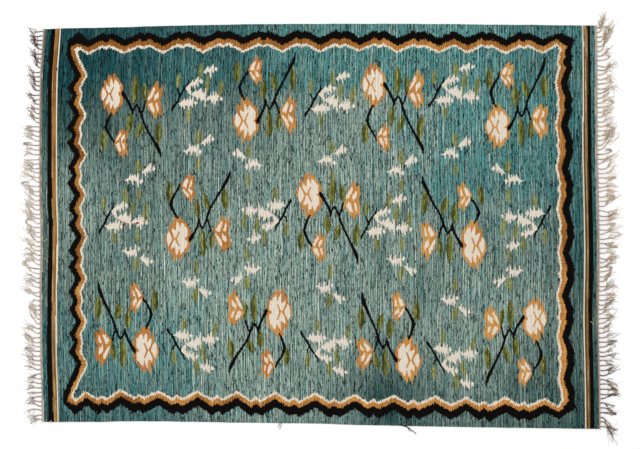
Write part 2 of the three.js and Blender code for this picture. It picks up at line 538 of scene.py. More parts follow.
class Motif:
    """A place on the chart to draw at. "side" and "up" are 1, or -1 for a mirrored motif."""

    def __init__(self, chart, u, v, side=1, up=1, wide=1.0, rise=1.0, drop=1.0):
        self.chart = chart
        self.u = u
        self.v = v
        self.across = side * wide
        self.rise = up * rise
        self.drop = up * drop

    def at(self, x, y):
        """A point of the drawing as a point of the chart."""
        return self.u + self.across * x, self.v + (self.rise if y > 0 else self.drop) * y

    def fill(self, yarn, points, uneven=UNEVEN_EDGE):
        """Fills a closed outline."""
        self.chart.paint(yarn, [self.at(*point) for point in points], uneven=uneven)

    def dot(self, yarn, x, y, half_width, half_height):
        """Fills an oval."""
        turns = [2 * math.pi * k / ROUND_STEPS for k in range(ROUND_STEPS)]
        points = [(x + half_width * math.cos(t), y + half_height * math.sin(t)) for t in turns]
        self.fill(yarn, points, UNEVEN_LINE)

    def diamond(self, yarn, x, y, half_width, half_height):
        """Fills a diamond."""
        self.fill(yarn, [
            (x - half_width, y), (x, y - half_height), (x + half_width, y), (x, y + half_height),
        ])

    def line(self, yarn, rows):
        """Draws a line through rows of (x, y, width)."""
        for (x, y, width), (next_x, next_y, next_width) in zip(rows, rows[1:]):
            run = math.hypot(next_x - x, next_y - y)
            side_x = (y - next_y) / run / 2
            side_y = (next_x - x) / run / 2
            self.fill(yarn, [
                (x + side_x * width, y + side_y * width),
                (x - side_x * width, y - side_y * width),
                (next_x - side_x * next_width, next_y - side_y * next_width),
                (next_x + side_x * next_width, next_y + side_y * next_width),
            ], UNEVEN_LINE)
        for x, y, width in rows:
            self.dot(yarn, x, y, width / 2, width / 2)

    def flower(self, yarn, body, teeth):
        """A small flower: its body, and thin teeth as rows of (x, y, y of the tip)."""
        self.fill(yarn, body, UNEVEN_LINE)
        for x, start, tip in teeth:
            self.fill(yarn, [
                (x - TOOTH_HALF_WIDTH, start), (x + TOOTH_HALF_WIDTH, start),
                (x + 2 * TOOTH_LEAN, tip), (x, tip),
            ], UNEVEN_LINE)

    def leaf(self, top, foot, half_width, light_side, yarns):
        """A pointed leaf in two olives that meet along a ragged middle."""
        down_x = foot[0] - top[0]
        down_y = foot[1] - top[1]
        run = math.hypot(down_x, down_y)
        side_x = -down_y / run * half_width
        side_y = down_x / run * half_width

        def point(down, out):
            return top[0] + down_x * down + side_x * out, top[1] + down_y * down + side_y * out

        def edge(out):
            return [point(row["down"], out * row["half"]) for row in LEAF_PROFILE]

        middle = [
            point(row["down"], LEAF_RAG * (-1) ** k * min(row["half"], LEAF_RAG_WIDEST))
            for k, row in enumerate(LEAF_PROFILE)
        ]
        dark, light = yarns
        self.fill(dark, edge(-1) + edge(1)[::-1])
        self.fill(light, edge(light_side) + middle[::-1])


BLOSSOM_EDGE = (
    (-53, 19), (-50, 31), (-38, 46), (-35, 80), (-27, 68), (-20, 60), (-16, 105), (-8, 95), (3, 80),
    (8, 103), (17, 91), (30, 79), (38, 66), (51, 53), (58, 45), (58, -32), (49, -47), (42, -58),
    (26, -72), (17, -81), (11, -100), (5, -84), (0, -75), (-8, -84), (-14, -93), (-17, -72),
    (-20, -48), (-27, -55), (-33, -66), (-36, -46), (-38, -21), (-50, -9), (-54, 4),
)
BLOSSOM_SIDE_PETAL = (
    (-37, 39), (-27, 25), (-19, 8), (-27, -10), (-37, -24), (-44, -15), (-46, 11), (-43, 25),
)
BLOSSOM_BODY = (
    (-25, 57), (-19, 47), (-8, 44), (-5, 78), (4, 68), (10, 45), (15, 74), (20, 72), (35, 53),
    (45, 46), (44, 18), (32, 7), (44, -4), (45, -18), (43, -36), (31, -52), (20, -65), (16, -52),
    (11, -36), (7, -54), (-4, -64), (-6, -28), (-19, -38), (-25, -39), (-24, -24), (-16, -8),
    (-10, 6), (-17, 22), (-25, 35),
)
BLOSSOM_VEINS = (
    ((-32, 41, 6), (-23, 25, 7), (-15, 8, 9), (-22, -9, 7), (-33, -24, 6)),
    ((9, 37, 6), (2, 22, 7), (-3, 9, 8), (2, -6, 7), (9, -23, 6)),
    ((-15, 8, 5), (-3, 9, 5)),
)

BUD_EDGE = (
    (0, 0), (8, 19), (9, 41), (20, 67), (34, 87), (43, 100), (48, 112), (51, 87), (57, 71),
    (65, 86), (70, 88), (71, 44), (60, 17), (68, -2), (72, -54), (61, -44), (54, -39), (48, -68),
    (42, -59), (30, -45), (19, -31), (6, -11),
)
BUD_PETALS = (
    ((9, 18), (9, 28), (21, 53), (31, 73), (37, 75), (38, 60), (30, 42), (20, 27), (12, 17)),
    ((36, 26), (36, 37), (46, 51), (55, 60), (56, 41), (52, 28), (43, 20), (38, 11)),
    ((10, -1), (20, 7), (28, 7), (33, -8), (39, -24), (39, -38), (31, -33), (20, -20)),
    ((41, 2), (48, 5), (55, -2), (57, -22), (55, -31), (49, -22), (46, -8)),
)

# Stems as rows of (x, y, width), drawn from the blossom outwards.
KNOT_STEM = (
    (48, 18, 9), (51, 8, 18), (58, -4, 15), (67, -18, 12), (79, -40, 11), (90, -69, 13), (88, -84, 7),
)
MAIN_STEM = (
    (90, -67, 9), (96, -56, 9), (102, -46, 9), (107, -40, 10), (114, -50, 9), (126, -76, 12),
)
LONG_STEM = (
    (126, -76, 11), (132, -99, 11), (144, -130, 10), (164, -167, 10), (188, -212, 12), (199, -234, 16),
    (209, -255, 16), (215, -274, 11), (217, -291, 6),
)
BUD_TWIG = ((127, -80, 9), (135, -64, 9), (145, -26, 8))
LOW_BUD_STEM = (
    (-1, -80, 7), (-9, -94, 10), (-21, -124, 12), (-27, -145, 15), (-21, -164, 13), (-9, -187, 10),
    (7, -209, 10), (13, -231, 8),
)

# Leaves as top, foot, half-width and the side that is lighter.
SPRAY_OLIVES = ("olive", "olive_light")
SPRIG_OLIVES = ("olive_light", "olive_pale")
SPRAY_LEAVES = (
    ((107, 88), (103, -43), 15.5, -1),
    ((142, 52), (154, -30), 12.5, 1),
    ((82, -83), (79, -173), 15.5, -1),
    ((-39, -159), (-36, -254), 15, 1),
    ((135, -122), (113, -199), 14, -1),
    ((215, -121), (206, -226), 15.5, 1),
)

LEAVES_WIDE = 0.965
LOW_BUD_DROP = -223
LOW_BUD_SIZE = {"wide": 0.85, "rise": 0.66, "drop": 0.95}

# Where each spray's origin lies, which way it is mirrored, and how its parts differ from the
# drawing: the blossom as (nudge outwards, width, height), the foot of the long stem as (x, y),
# the leaves as (nudge outwards, how far they hang down), and both buds as (x, y, height).
SPRAYS = (
    {"u": -890, "v": 558, "side": 1, "up": 1, "blossom": (-3, 0.91, 0.92), "foot": (208, -269),
     "leaves": (0, 0.95), "bud": (147, -40, 0.93), "low_bud": (10, -208, 1.0)},
    {"u": -314, "v": 449, "side": 1, "up": -1, "blossom": (-1, 0.97, 1.0), "foot": (210, -283),
     "leaves": (0, 0.98), "bud": (147, -36, 0.98), "low_bud": (10, -212, 0.95)},
    {"u": 235, "v": 588, "side": 1, "up": 1, "blossom": (-1, 0.94, 0.98), "foot": (216, -286),
     "leaves": (2, 0.99), "bud": (147, -33, 1.0), "low_bud": (14, -223, 0.95)},
    {"u": 769, "v": 427, "side": 1, "up": -1, "blossom": (0, 0.95, 1.02), "foot": (206, -286),
     "leaves": (3, 0.97), "bud": (146, -38, 0.9), "low_bud": (13, -217, 0.92)},
    {"u": -611, "v": -59, "side": 1, "up": -1, "blossom": (-4, 0.96, 0.98), "foot": (227, -283),
     "leaves": (6, 0.96), "bud": (155, -33, 0.96), "low_bud": (18, -218, 0.96)},
    {"u": -41, "v": 117, "side": 1, "up": 1, "blossom": (-2, 0.98, 1.0), "foot": (206, -288),
     "leaves": (-3, 0.93), "bud": (146, -32, 0.98), "low_bud": (5, -223, 1.05)},
    {"u": 658, "v": -76, "side": -1, "up": -1, "blossom": (-5, 0.97, 1.07), "foot": (215, -285),
     "leaves": (0, 1.0), "bud": (151, -33, 1.01), "low_bud": (1, -204, 0.95)},
    {"u": -749, "v": -539, "side": -1, "up": -1, "blossom": (-4, 0.99, 1.06), "foot": (201, -292),
     "leaves": (-3, 1.02), "bud": (143, -31, 1.0), "low_bud": (6, -226, 1.05)},
    {"u": -175, "v": -387, "side": -1, "up": 1, "blossom": (-5, 0.95, 1.09), "foot": (215, -252),
     "leaves": (4, 0.88), "bud": (147, 5, 0.93), "low_bud": (16, -220, 1.0)},
    {"u": 380, "v": -567, "side": -1, "up": -1, "blossom": (-3, 0.97, 1.03), "foot": (198, -274),
     "leaves": (-2, 0.97), "bud": (150, -33, 0.88), "low_bud": (6, -223, 1.0)},
    {"u": 926, "v": -399, "side": -1, "up": 1, "blossom": (-5, 0.95, 0.98), "foot": (214, -275),
     "leaves": (2, 0.93), "bud": (147, -30, 0.92), "low_bud": (15, -223, 1.0)},
)


def paint_bud(motif):
    """A bud of four petals with an orange edge."""
    motif.fill("orange", BUD_EDGE)
    for petal in BUD_PETALS:
        motif.fill("cream", petal)


def stretched_to(rows, foot):
    """A stem with its last point moved to a new foot, and the rest of it moved in proportion."""
    first_x, first_y, _ = rows[0]
    last_x, last_y, _ = rows[-1]
    across = (foot[0] - first_x) / (last_x - first_x)
    down = (foot[1] - first_y) / (last_y - first_y)
    return [
        (first_x + (x - first_x) * across, first_y + (y - first_y) * down, width) for x, y, width in rows
    ]


def paint_spray(chart, row):
    """One large blossom with its stem, six leaves and two buds."""
    u, v, side, up = row["u"], row["v"], row["side"], row["up"]
    nudge, drop = row["leaves"]
    leaves = Motif(chart, u + side * nudge, v, side, up, wide=LEAVES_WIDE, drop=drop)
    for leaf in SPRAY_LEAVES:
        leaves.leaf(*leaf, SPRAY_OLIVES)
    low_x, low_y, low_tall = row["low_bud"]
    Motif(chart, u, v, side, up, drop=low_y / LOW_BUD_DROP).line("black", LOW_BUD_STEM)
    nudge, wide, tall = row["blossom"]
    blossom = Motif(chart, u + side * nudge, v, side, up, wide=wide, rise=tall, drop=tall)
    blossom.fill("orange", BLOSSOM_EDGE)
    blossom.fill("cream", BLOSSOM_SIDE_PETAL)
    blossom.fill("cream", BLOSSOM_BODY)
    for vein in BLOSSOM_VEINS:
        blossom.line("orange", vein)
    stem = Motif(chart, u, v, side, up)
    for rows in (KNOT_STEM, MAIN_STEM, stretched_to(LONG_STEM, row["foot"]), BUD_TWIG):
        stem.line("black", rows)
    bud_x, bud_y, tall = row["bud"]
    paint_bud(Motif(chart, u + side * bud_x, v + up * bud_y, side, up, rise=tall, drop=tall))
    rise, drop = (LOW_BUD_SIZE[way] * low_tall for way in ("rise", "drop"))
    low_bud = Motif(chart, u + side * low_x, v + up * low_y, side, up, LOW_BUD_SIZE["wide"], rise, drop)
    paint_bud(low_bud)


WHITE_STEM = (
    (-7, 6, 6), (-4, 17, 12), (5, 30, 9), (16, 44, 9.5), (30, 75, 10), (43, 97, 8.5), (60, 122, 8.5),
    (63, 139, 5),
)
WHITE_TWIG = ((30, 75, 7), (20, 88, 6.5), (15, 104, 6))
WHITE_LEAVES = (
    ((21, 168), (15, 101), 10.3, -1),
    ((115, 208), (112, 131), 9.8, 1),
    ((150, 154), (139, 73), 10.2, -1),
    ((61, 23), (65, -46), 10.2, -1),
)
# The last leaf of each sprig. In the lowest row, which is mirrored from top to bottom only, it
# lies nearer to the stem's foot.
WHITE_LAST_LEAF = ((209, 140), (195, 52), 10.6, 1)
LOW_LAST_LEAF = ((182, 50), (204, -27), 10, 1)

WHITE_FLOWERS = (
    {"body": ((50, 103), (65, 118), (80, 131), (83, 124), (92, 132), (103, 146), (106, 143), (106, 124),
              (99, 116), (80, 114), (73, 113), (71, 96), (76, 82), (70, 74), (60, 86), (53, 95)),
     "teeth": ((80, 122, 136), (103, 128, 148), (102, 120, 106), (89, 120, 97), (77, 118, 105))},
    {"body": ((126, 170), (136, 179), (142, 188), (146, 184), (152, 184), (161, 195), (167, 202), (172, 192),
              (170, 177), (162, 172), (157, 164), (152, 166), (145, 172), (138, 167), (133, 163)),
     "teeth": ((144, 180, 194), (167, 180, 163), (157, 174, 138), (136, 170, 158))},
    {"body": ((72, 75), (84, 83), (92, 86), (98, 82), (106, 92), (113, 98), (116, 90), (119, 76), (128, 74),
              (134, 80), (137, 70), (136, 55), (132, 46), (122, 50), (110, 58), (98, 60), (88, 66), (80, 70)),
     "teeth": ((92, 80, 92), (114, 85, 101), (122, 72, 84), (134, 72, 97), (100, 64, 48), (117, 56, 40),
               (133, 52, 21))},
    {"body": ((15, 39), (28, 40), (43, 52), (50, 48), (60, 50), (72, 52), (80, 50), (84, 42), (82, 32),
              (70, 27), (52, 27), (38, 26), (33, 25), (27, 32)),
     "teeth": ((45, 46, 58), (57, 46, 57), (69, 48, 72), (81, 44, 66), (33, 30, 18), (44, 32, 12),
               (64, 32, 5), (79, 36, 17))},
    {"body": ((138, 53), (148, 62), (156, 68), (162, 62), (172, 64), (182, 63), (189, 66), (191, 56),
              (189, 47), (182, 45), (176, 42), (168, 42), (159, 47), (150, 51), (145, 50)),
     "teeth": ((157, 60, 74), (170, 60, 87), (180, 60, 83), (189, 58, 74), (145, 54, 43), (165, 48, 32),
               (177, 48, 20), (187, 52, 39))},
)
WHITE_DIAMONDS = ((117, 127, 8.6, 12), (94, 38, 8.6, 11), (205, 51, 8.6, 11))

# A sprig that isn't whole lacks its second flower, and has two rust spots.
SECOND_FLOWER = 1
SECOND_FLOWER_TIP = (182, 180, 8.6, 11)
RUST_SPOTS = ((113, 45, 6, 5.5), (165, 49, 7, 6))

# Where the foot of each white sprig lies.
WHITE_SPRIGS = (
    {"u": -623, "v": 483, "side": 1, "up": 1, "wide": 1.0, "whole": True},
    {"u": -50, "v": 453, "side": 1, "up": 1, "wide": 0.98, "whole": True},
    {"u": 481, "v": 494, "side": 1, "up": 1, "wide": 1.0, "whole": True},
    {"u": -943, "v": -46, "side": 1, "up": 1, "wide": 0.97, "whole": False},
    {"u": -127, "v": 112, "side": -1, "up": -1, "wide": 0.98, "whole": True},
    {"u": 185, "v": -70, "side": 1, "up": 1, "wide": 1.0, "whole": True},
    {"u": 986, "v": 94, "side": -1, "up": -1, "wide": 0.98, "whole": True},
    {"u": -645, "v": -445, "side": 1, "up": -1, "wide": 1.0, "whole": True},
    {"u": -72, "v": -450, "side": 1, "up": -1, "wide": 1.0, "whole": True},
    {"u": 469, "v": -490, "side": 1, "up": -1, "wide": 1.0, "whole": True},
)


def paint_white_sprig(chart, row):
    """A branching stem with five white flowers and five leaves."""
    motif = Motif(chart, row["u"], row["v"], row["side"], row["up"], wide=row["wide"])
    motif.line("black", WHITE_STEM)
    motif.line("black", WHITE_TWIG)
    last_leaf = LOW_LAST_LEAF if row["side"] > row["up"] else WHITE_LAST_LEAF
    for leaf in (*WHITE_LEAVES, last_leaf):
        motif.leaf(*leaf, SPRIG_OLIVES)
    for number, flower in enumerate(WHITE_FLOWERS):
        if row["whole"] or number != SECOND_FLOWER:
            motif.flower("white", **flower)
    for diamond in WHITE_DIAMONDS:
        motif.diamond("white", *diamond)
    if row["whole"]:
        motif.diamond("white", *SECOND_FLOWER_TIP)
    else:
        for spot in RUST_SPOTS:
            motif.dot("rust", *spot)


SMALL_FLOWERS = (
    {"body": ((-3, -3), (9, -2), (19, 8), (27, 14), (33, 12), (46, 11), (52, 8), (58, 10), (60, -2), (55, -9),
              (45, -6), (37, -3), (23, -3), (18, -7), (9, -9), (1, -7)),
     "teeth": ((26, 8, 24), (37, 9, 21), (46, 8, 21), (57, 2, 28), (15, -3, -23), (35, 0, -24),
               (56, 0, -31))},
    {"body": ((73, 28), (81, 37), (85, 44), (92, 49), (102, 61), (108, 70), (113, 68), (111, 50), (110, 40),
              (101, 37), (92, 33), (84, 26), (79, 26)),
     "teeth": ((107, 44, 30), (97, 40, 28), (87, 34, 14))},
)
SMALL_DIAMONDS = ((70, -8, 7.8, 11.5), (122, 47, 8, 12))
SMALL_LEAVES = (((59, 87), (63, 23), 12, -1), ((63, -34), (61, -97), 8.8, 1))
SMALL_SPRIG_MIDDLE = (65, 14)

# Where the middle of each small sprig lies.
SMALL_SPRIGS = (
    {"u": -770, "v": 208, "side": 1, "up": 1},
    {"u": -513, "v": 331, "side": 1, "up": 1},
    {"u": -307, "v": 266, "side": -1, "up": 1},
    {"u": 60, "v": 284, "side": 1, "up": 1},
    {"u": 359, "v": 243, "side": 1, "up": 1},
    {"u": 593, "v": 320, "side": 1, "up": 1},
    {"u": 811, "v": 212, "side": -1, "up": 1},
    {"u": -783, "v": -133, "side": 1, "up": -1},
    {"u": -527, "v": -268, "side": 1, "up": -1},
    {"u": -317, "v": -210, "side": -1, "up": -1},
    {"u": 47, "v": -284, "side": 1, "up": -1},
    {"u": 351, "v": -163, "side": 1, "up": -1},
    {"u": 587, "v": -331, "side": 1, "up": -1},
    {"u": 811, "v": -205, "side": -1, "up": -1},
)


def paint_small_sprig(chart, row):
    """Two white flowers with a leaf above and one below."""
    u = row["u"] - row["side"] * SMALL_SPRIG_MIDDLE[0]
    v = row["v"] - row["up"] * SMALL_SPRIG_MIDDLE[1]
    motif = Motif(chart, u, v, row["side"], row["up"])
    for leaf in SMALL_LEAVES:
        motif.leaf(*leaf, SPRIG_OLIVES)
    for flower in SMALL_FLOWERS:
        motif.flower("white", **flower)
    for diamond in SMALL_DIAMONDS:
        motif.diamond("white", *diamond)


def draw_chart(sway):
    """The whole rug's chart: border, end stripes, sprays and sprigs on the ground."""
    chart = Chart(sway)
    paint_border(chart)
    paint_end_stripes(chart)
    for row in SPRAYS:
        paint_spray(chart, row)
    for row in WHITE_SPRIGS:
        paint_white_sprig(chart, row)
    for row in SMALL_SPRIGS:
        paint_small_sprig(chart, row)
    chart.finish()
    return chart


# The woven sheet


# One warp in so many has points in every band, so that the sheet can ripple.
RIPPLE_STEP = 38

# Low waves in the sheet, which die out over a stretch before each end.
RIPPLE_WAVES = (
    {"along": 520, "across": 610, "seed": 1.7, "amount": 1.0},
    {"along": 210, "across": 260, "seed": 5.2, "amount": 0.5},
)
RIPPLE_FADE = 130

# How the selvedges wander: how far, in waves of what length, over what width of the cloth, and
# how much of it is inwards.
SELVEDGE_WANDER = 1.1
SELVEDGE_WAVE = 70
SELVEDGE_BAND = 40
SELVEDGE_INWARDS = 0.6
SELVEDGE_SEEDS = {"near": 9.9, "far": 4.4}

# The back has one band of wefts for so many of the face's, and both end in a narrow rim.
BACK_BANDS = 4
RIM_BAND = 1.5


class Sheet:
    """The sheet's mesh as it grows: points of the chart, and faces with the yarn of each."""

    def __init__(self):
        self.us = []
        self.warps = []
        self.on_top = []
        self.faces = []
        self.yarns = []

    def chain(self, u, warps, on_top):
        """One line of points across the rug, as rows of (warp, point)."""
        start = len(self.us)
        self.us.extend([u] * len(warps))
        self.warps.extend(warps)
        self.on_top.extend([on_top] * len(warps))
        return [(warp, start + k) for k, warp in enumerate(warps)]

    def zip_up(self, first, second, yarn):
        """Fills the strip between two chains, with four corners wherever both have a point."""
        a = 0
        b = 0
        while a < len(first) - 1 or b < len(second) - 1:
            next_a = first[a + 1][0] if a + 1 < len(first) else math.inf
            next_b = second[b + 1][0] if b + 1 < len(second) else math.inf
            face = [first[a][1], second[b][1]]
            if next_b <= next_a:
                b += 1
                face.append(second[b][1])
            if next_a <= next_b:
                a += 1
                face.append(first[a][1])
            self.faces.append(face)
            self.yarns.append(yarn)

    def weave(self, lines, rows, on_top):
        """One face of the sheet: a strip of cells between each line and the next."""
        grid = {*range(0, WARPS, RIPPLE_STEP), 1, WARPS - 1, WARPS}
        cuts = [sorted(grid | set((np.nonzero(np.diff(row))[0] + 1).tolist())) for row in rows]
        chains = []
        for number, u in enumerate(lines):
            before = cuts[number - 1] if number > 0 else ()
            after = cuts[number] if number < len(cuts) else ()
            chains.append(self.chain(u, sorted({*before, *after}), on_top))
        for row, cut, left, right in zip(rows, cuts, chains, chains[1:]):
            a = 0
            b = 0
            for low, high in zip(cut, cut[1:]):
                a_end = next(k for k in range(a, len(left)) if left[k][0] == high)
                b_end = next(k for k in range(b, len(right)) if right[k][0] == high)
                pair = (left[a:a_end + 1], right[b:b_end + 1])
                self.zip_up(*(pair if on_top else pair[::-1]), int(row[low]))
                a = a_end
                b = b_end
        return chains

    def close(self, lines, back_lines, top, back):
        """Joins the two faces of the sheet along its four edges."""
        heading = YARNS.index("heading")
        self.zip_up(back[0], top[0], heading)
        self.zip_up(top[-1], back[-1], heading)
        for end, top_first in ((0, True), (-1, False)):
            pair = (
                [(u, chain[end][1]) for u, chain in zip(lines, top)],
                [(u, chain[end][1]) for u, chain in zip(back_lines, back)],
            )
            self.zip_up(*(pair if top_first else pair[::-1]), YARNS.index("ground"))


def ripple(u, v):
    """How far the sheet stands off the floor, as a share: low waves that die out at both ends."""
    waves = sum(
        wave["amount"] * noise.noise(Vector((u / wave["along"], v / wave["across"], wave["seed"])))
        for wave in RIPPLE_WAVES
    )
    fade = min(1.0, (HALF_LENGTH - abs(u)) / RIPPLE_FADE)
    return max(0.0, waves) * fade


def selvedge_stray(u, v):
    """How far each point is moved across the warps where the selvedges wander."""
    seeds = np.where(v > 0, SELVEDGE_SEEDS["far"], SELVEDGE_SEEDS["near"])
    wander = np.array([
        noise.noise(Vector((along / SELVEDGE_WAVE, seed, 0.0))) for along, seed in zip(u, seeds)
    ])
    at_edge = np.clip((np.abs(v) - HALF_WIDTH + SELVEDGE_BAND) / SELVEDGE_BAND, 0, 1)
    return SELVEDGE_WANDER * (wander - SELVEDGE_INWARDS) * at_edge * np.sign(v)


def sheet_heights(u, v, warp, on_top, settings):
    """How high each point of the sheet lies: its ripple, and its thickness, which is less at the rim."""
    lift = np.array([ripple(along, across) for along, across in zip(u, v)]) * settings.ripple / MM
    rim = (warp == 0) | (warp == WARPS) | (np.abs(u) == HALF_LENGTH)
    thick = settings.thickness / MM
    rim_gap = (thick - settings.selvedge / MM) / 2
    return lift + np.where(rim, np.where(on_top, thick - rim_gap, rim_gap), np.where(on_top, thick, 0.0))


def woven_sheet(settings):
    """The mesh of the woven sheet, with its yarns as material numbers and two UV maps."""
    chart = draw_chart(settings.sway / MM)
    bands = round((CLOTH_LENGTH - 2 * RIM_BAND) / (settings.weft_band / MM))
    inner = np.linspace(RIM_BAND - HALF_LENGTH, HALF_LENGTH - RIM_BAND, bands + 1).tolist()
    lines = [-HALF_LENGTH, *inner, HALF_LENGTH]
    back_lines = [-HALF_LENGTH, *inner[:-1:BACK_BANDS], inner[-1], HALF_LENGTH]
    sheet = Sheet()
    top = sheet.weave(lines, chart.rows(lines), True)
    back = sheet.weave(back_lines, chart.rows(back_lines), False)
    sheet.close(lines, back_lines, top, back)

    u = np.array(sheet.us)
    warp = np.array(sheet.warps)
    on_top = np.array(sheet.on_top)
    v = warp * WARP_PITCH - HALF_WIDTH
    x, y = on_floor(u, v)
    y = y + selvedge_stray(u, v)
    z = sheet_heights(u, v, warp, on_top, settings)

    mesh = bpy.data.meshes.new("kilim")
    mesh.from_pydata(np.column_stack((x, y, z)) * MM, [], sheet.faces)
    mesh.polygons.foreach_set("material_index", sheet.yarns)
    corners = np.empty(len(mesh.loops), int)
    mesh.loops.foreach_get("vertex_index", corners)
    weave = mesh.uv_layers.new(name="weave")
    weave.data.foreach_set("uv", (np.column_stack((u, v))[corners] * MM).ravel())
    bake = mesh.uv_layers.new(name="OFBake")
    bake.data.foreach_set("uv", bake_places(mesh, u, v, on_top, corners).ravel())
    mesh.shade_smooth()
    mesh.validate()
    return mesh


BAKE_MARGIN = 0.003
BAKE_RIM = 1.002
BACK_SHARE = 0.385


def bake_places(mesh, u, v, on_top, corners):
    """Where each corner lies on a square picture: the top face large, and the back above it."""
    tall = CLOTH_WIDTH / CLOTH_LENGTH
    across = BAKE_MARGIN + (u / CLOTH_LENGTH + 0.5) * (1 - 2 * BAKE_MARGIN)
    along = BAKE_MARGIN + (v / CLOTH_WIDTH + 0.5) * (tall - 2 * BAKE_MARGIN)
    face_of = np.repeat(np.arange(len(mesh.polygons)), [len(face.vertices) for face in mesh.polygons])
    back_corners = np.bincount(face_of, weights=~on_top[corners])
    all_corners = np.bincount(face_of)
    is_back = (back_corners == all_corners)[face_of]
    is_rim = ((back_corners > 0) & (back_corners < all_corners))[face_of]
    places = np.column_stack((across, along))[corners]
    outwards = is_rim & ~on_top[corners]
    middle = np.array((0.5, tall / 2))
    places[outwards] = middle + (places[outwards] - middle) * BAKE_RIM
    places[is_back] = places[is_back] * BACK_SHARE + np.array((BAKE_MARGIN, tall + BAKE_MARGIN))
    return places


# Yarn that lies free: tubes along routes


UP = np.array((0.0, 0.0, 1.0))


def as_strand(points, radii, tone, reference=UP, start=0.0, end=1.0):
    """One strand of yarn: its points and the radius at each, its tone, the direction that its
    section is turned from, and how far along the yarn it starts and ends."""
    return {
        "points": points, "radii": radii, "tone": tone, "reference": reference, "start": start, "end": end,
    }


def tube_points(strand, sides):
    """The points of a tube round a strand, one ring after another."""
    angles = 2 * np.pi * np.arange(sides) / sides
    route = strand["points"]
    tangent = np.gradient(route, axis=0)
    tangent /= np.linalg.norm(tangent, axis=1, keepdims=True)
    side = np.cross(tangent, strand["reference"])
    side /= np.linalg.norm(side, axis=1, keepdims=True)
    lift = np.cross(side, tangent)
    ring = side[:, None, :] * np.cos(angles)[None, :, None]
    ring = ring + lift[:, None, :] * np.sin(angles)[None, :, None]
    return (route[:, None, :] + strand["radii"][:, None, None] * ring).reshape(-1, 3)


def tube_faces(first, count, sides):
    """The faces of a tube of so many rings from its first point on, closed at both ends."""
    last = first + (count - 1) * sides
    faces = []
    for low in range(first, last, sides):
        for k in range(sides):
            after = (k + 1) % sides
            faces.append((low + k, low + sides + k, low + sides + after, low + after))
    faces.append(tuple(range(first, first + sides)))
    faces.append(tuple(range(last + sides - 1, last - 1, -1)))
    return faces


def yarn_mesh(name, strands, sides):
    """One mesh of many tubes, each round a strand."""
    points = []
    faces = []
    along = []
    tones = []
    total = 0
    for strand in strands:
        count = len(strand["points"])
        points.append(tube_points(strand, sides))
        faces += tube_faces(total, count, sides)
        along.append(np.repeat(np.linspace(strand["start"], strand["end"], count), sides))
        tones.append(np.full(count * sides, strand["tone"]))
        total += count * sides
    mesh = bpy.data.meshes.new(name)
    mesh.from_pydata(np.concatenate(points) * MM, [], faces)
    for attribute, values in (("along", along), ("tone", tones)):
        mesh.attributes.new(attribute, "FLOAT", "POINT").data.foreach_set("value", np.concatenate(values))
    mesh.shade_smooth()
    return mesh


def look_up(rows, column, along):
    """A column of a table at a share of the way, straight between its rows."""
    return float(np.interp(along, [row["along"] for row in rows], [row[column] for row in rows]))


def edge_point(edge, along):
    """A point at a share of an edge's length."""
    steps = np.linalg.norm(np.diff(edge, axis=0), axis=1)
    shares = np.concatenate(((0,), np.cumsum(steps))) / steps.sum()
    return np.array([np.interp(along, shares, edge[:, axis]) for axis in (0, 1)])


def outward_of(edge):
    """The level direction straight out of an edge."""
    run = edge[-1] - edge[0]
    return np.array((run[1], -run[0])) / np.hypot(*run)


STRAND_STEPS = 26
STRAND_SIDES = 4
CORD_SIDES = 6
BUNDLE_RADIUS = 1.35
TWIST_LENGTH = 22
CRIMP_WAVE = 15.0
YARN_TAPER = 0.35
FLOOR_GAP = 0.1
PILE_HEIGHT = 2.2
# How far a strand's tone strays from its tassel's. The strands that stray dark are painted shade for the thin
# shadows between strands.
TONE_STRAY = 0.32
ANY_PHASE = 6.3

# A tassel starts this far inside the knot row's outer edge. It holds together up to some share of
# its length between these two, and opens over the next stretch.
TASSEL_ROOT = 1.5
OPENING = (0.2, 0.5)
OPENING_RUN = 0.3

# The yarns of a tassel: how thick they are, how far they scatter and how soon they come free.
YARN_KINDS = {
    "strand": {"thick": 1.0, "scatter": 1.0, "opening": 1.0},
    "fibre": {"thick": 0.34, "scatter": 1.7, "opening": 0.8},
}

# How a tassel strays from its lie, in degrees and as a share, and how far its start swings out.
LEAN_STRAY = 7
REACH_STRAY = (0.72, 1.06)
SWING = (4, 26)

# How far the middle points of a course lie from its ends, as shares of its length, and how far it
# turns at its tip, in radians. A course that loops runs past its tip and comes back.
COURSE = {"start": 0.4, "end": 0.36, "turn": 0.5}
LOOP_COURSE = {"start": 0.9, "past": 0.5, "back": 0.45}

# How a matted tassel joins its rope: how far out from the knot, how far along the rope at most,
# how long it follows it at least, and how far it strays.
ROPE_JOIN = {"start": (14, 24), "out": 22, "latest": 0.8, "least": 18.0, "end": 1.04, "stray": 2.5}

# Tassels that have matted into a rope: from one share of the end to another, they lie over to a
# line from its foot to its tip, and follow it for the rest of their length.
ROPES = {
    "left": (
        {"from": 0.0, "to": 0.055, "foot": (-1212, 752), "tip": (-1264, 842)},
        {"from": 0.055, "to": 0.104, "foot": (-1218, 700), "tip": (-1260, 785)},
        {"from": 0.104, "to": 0.16, "foot": (-1222, 577), "tip": (-1269, 702)},
        {"from": 0.165, "to": 0.2, "foot": (-1226, 520), "tip": (-1268, 585)},
    ),
    "right": (),
}

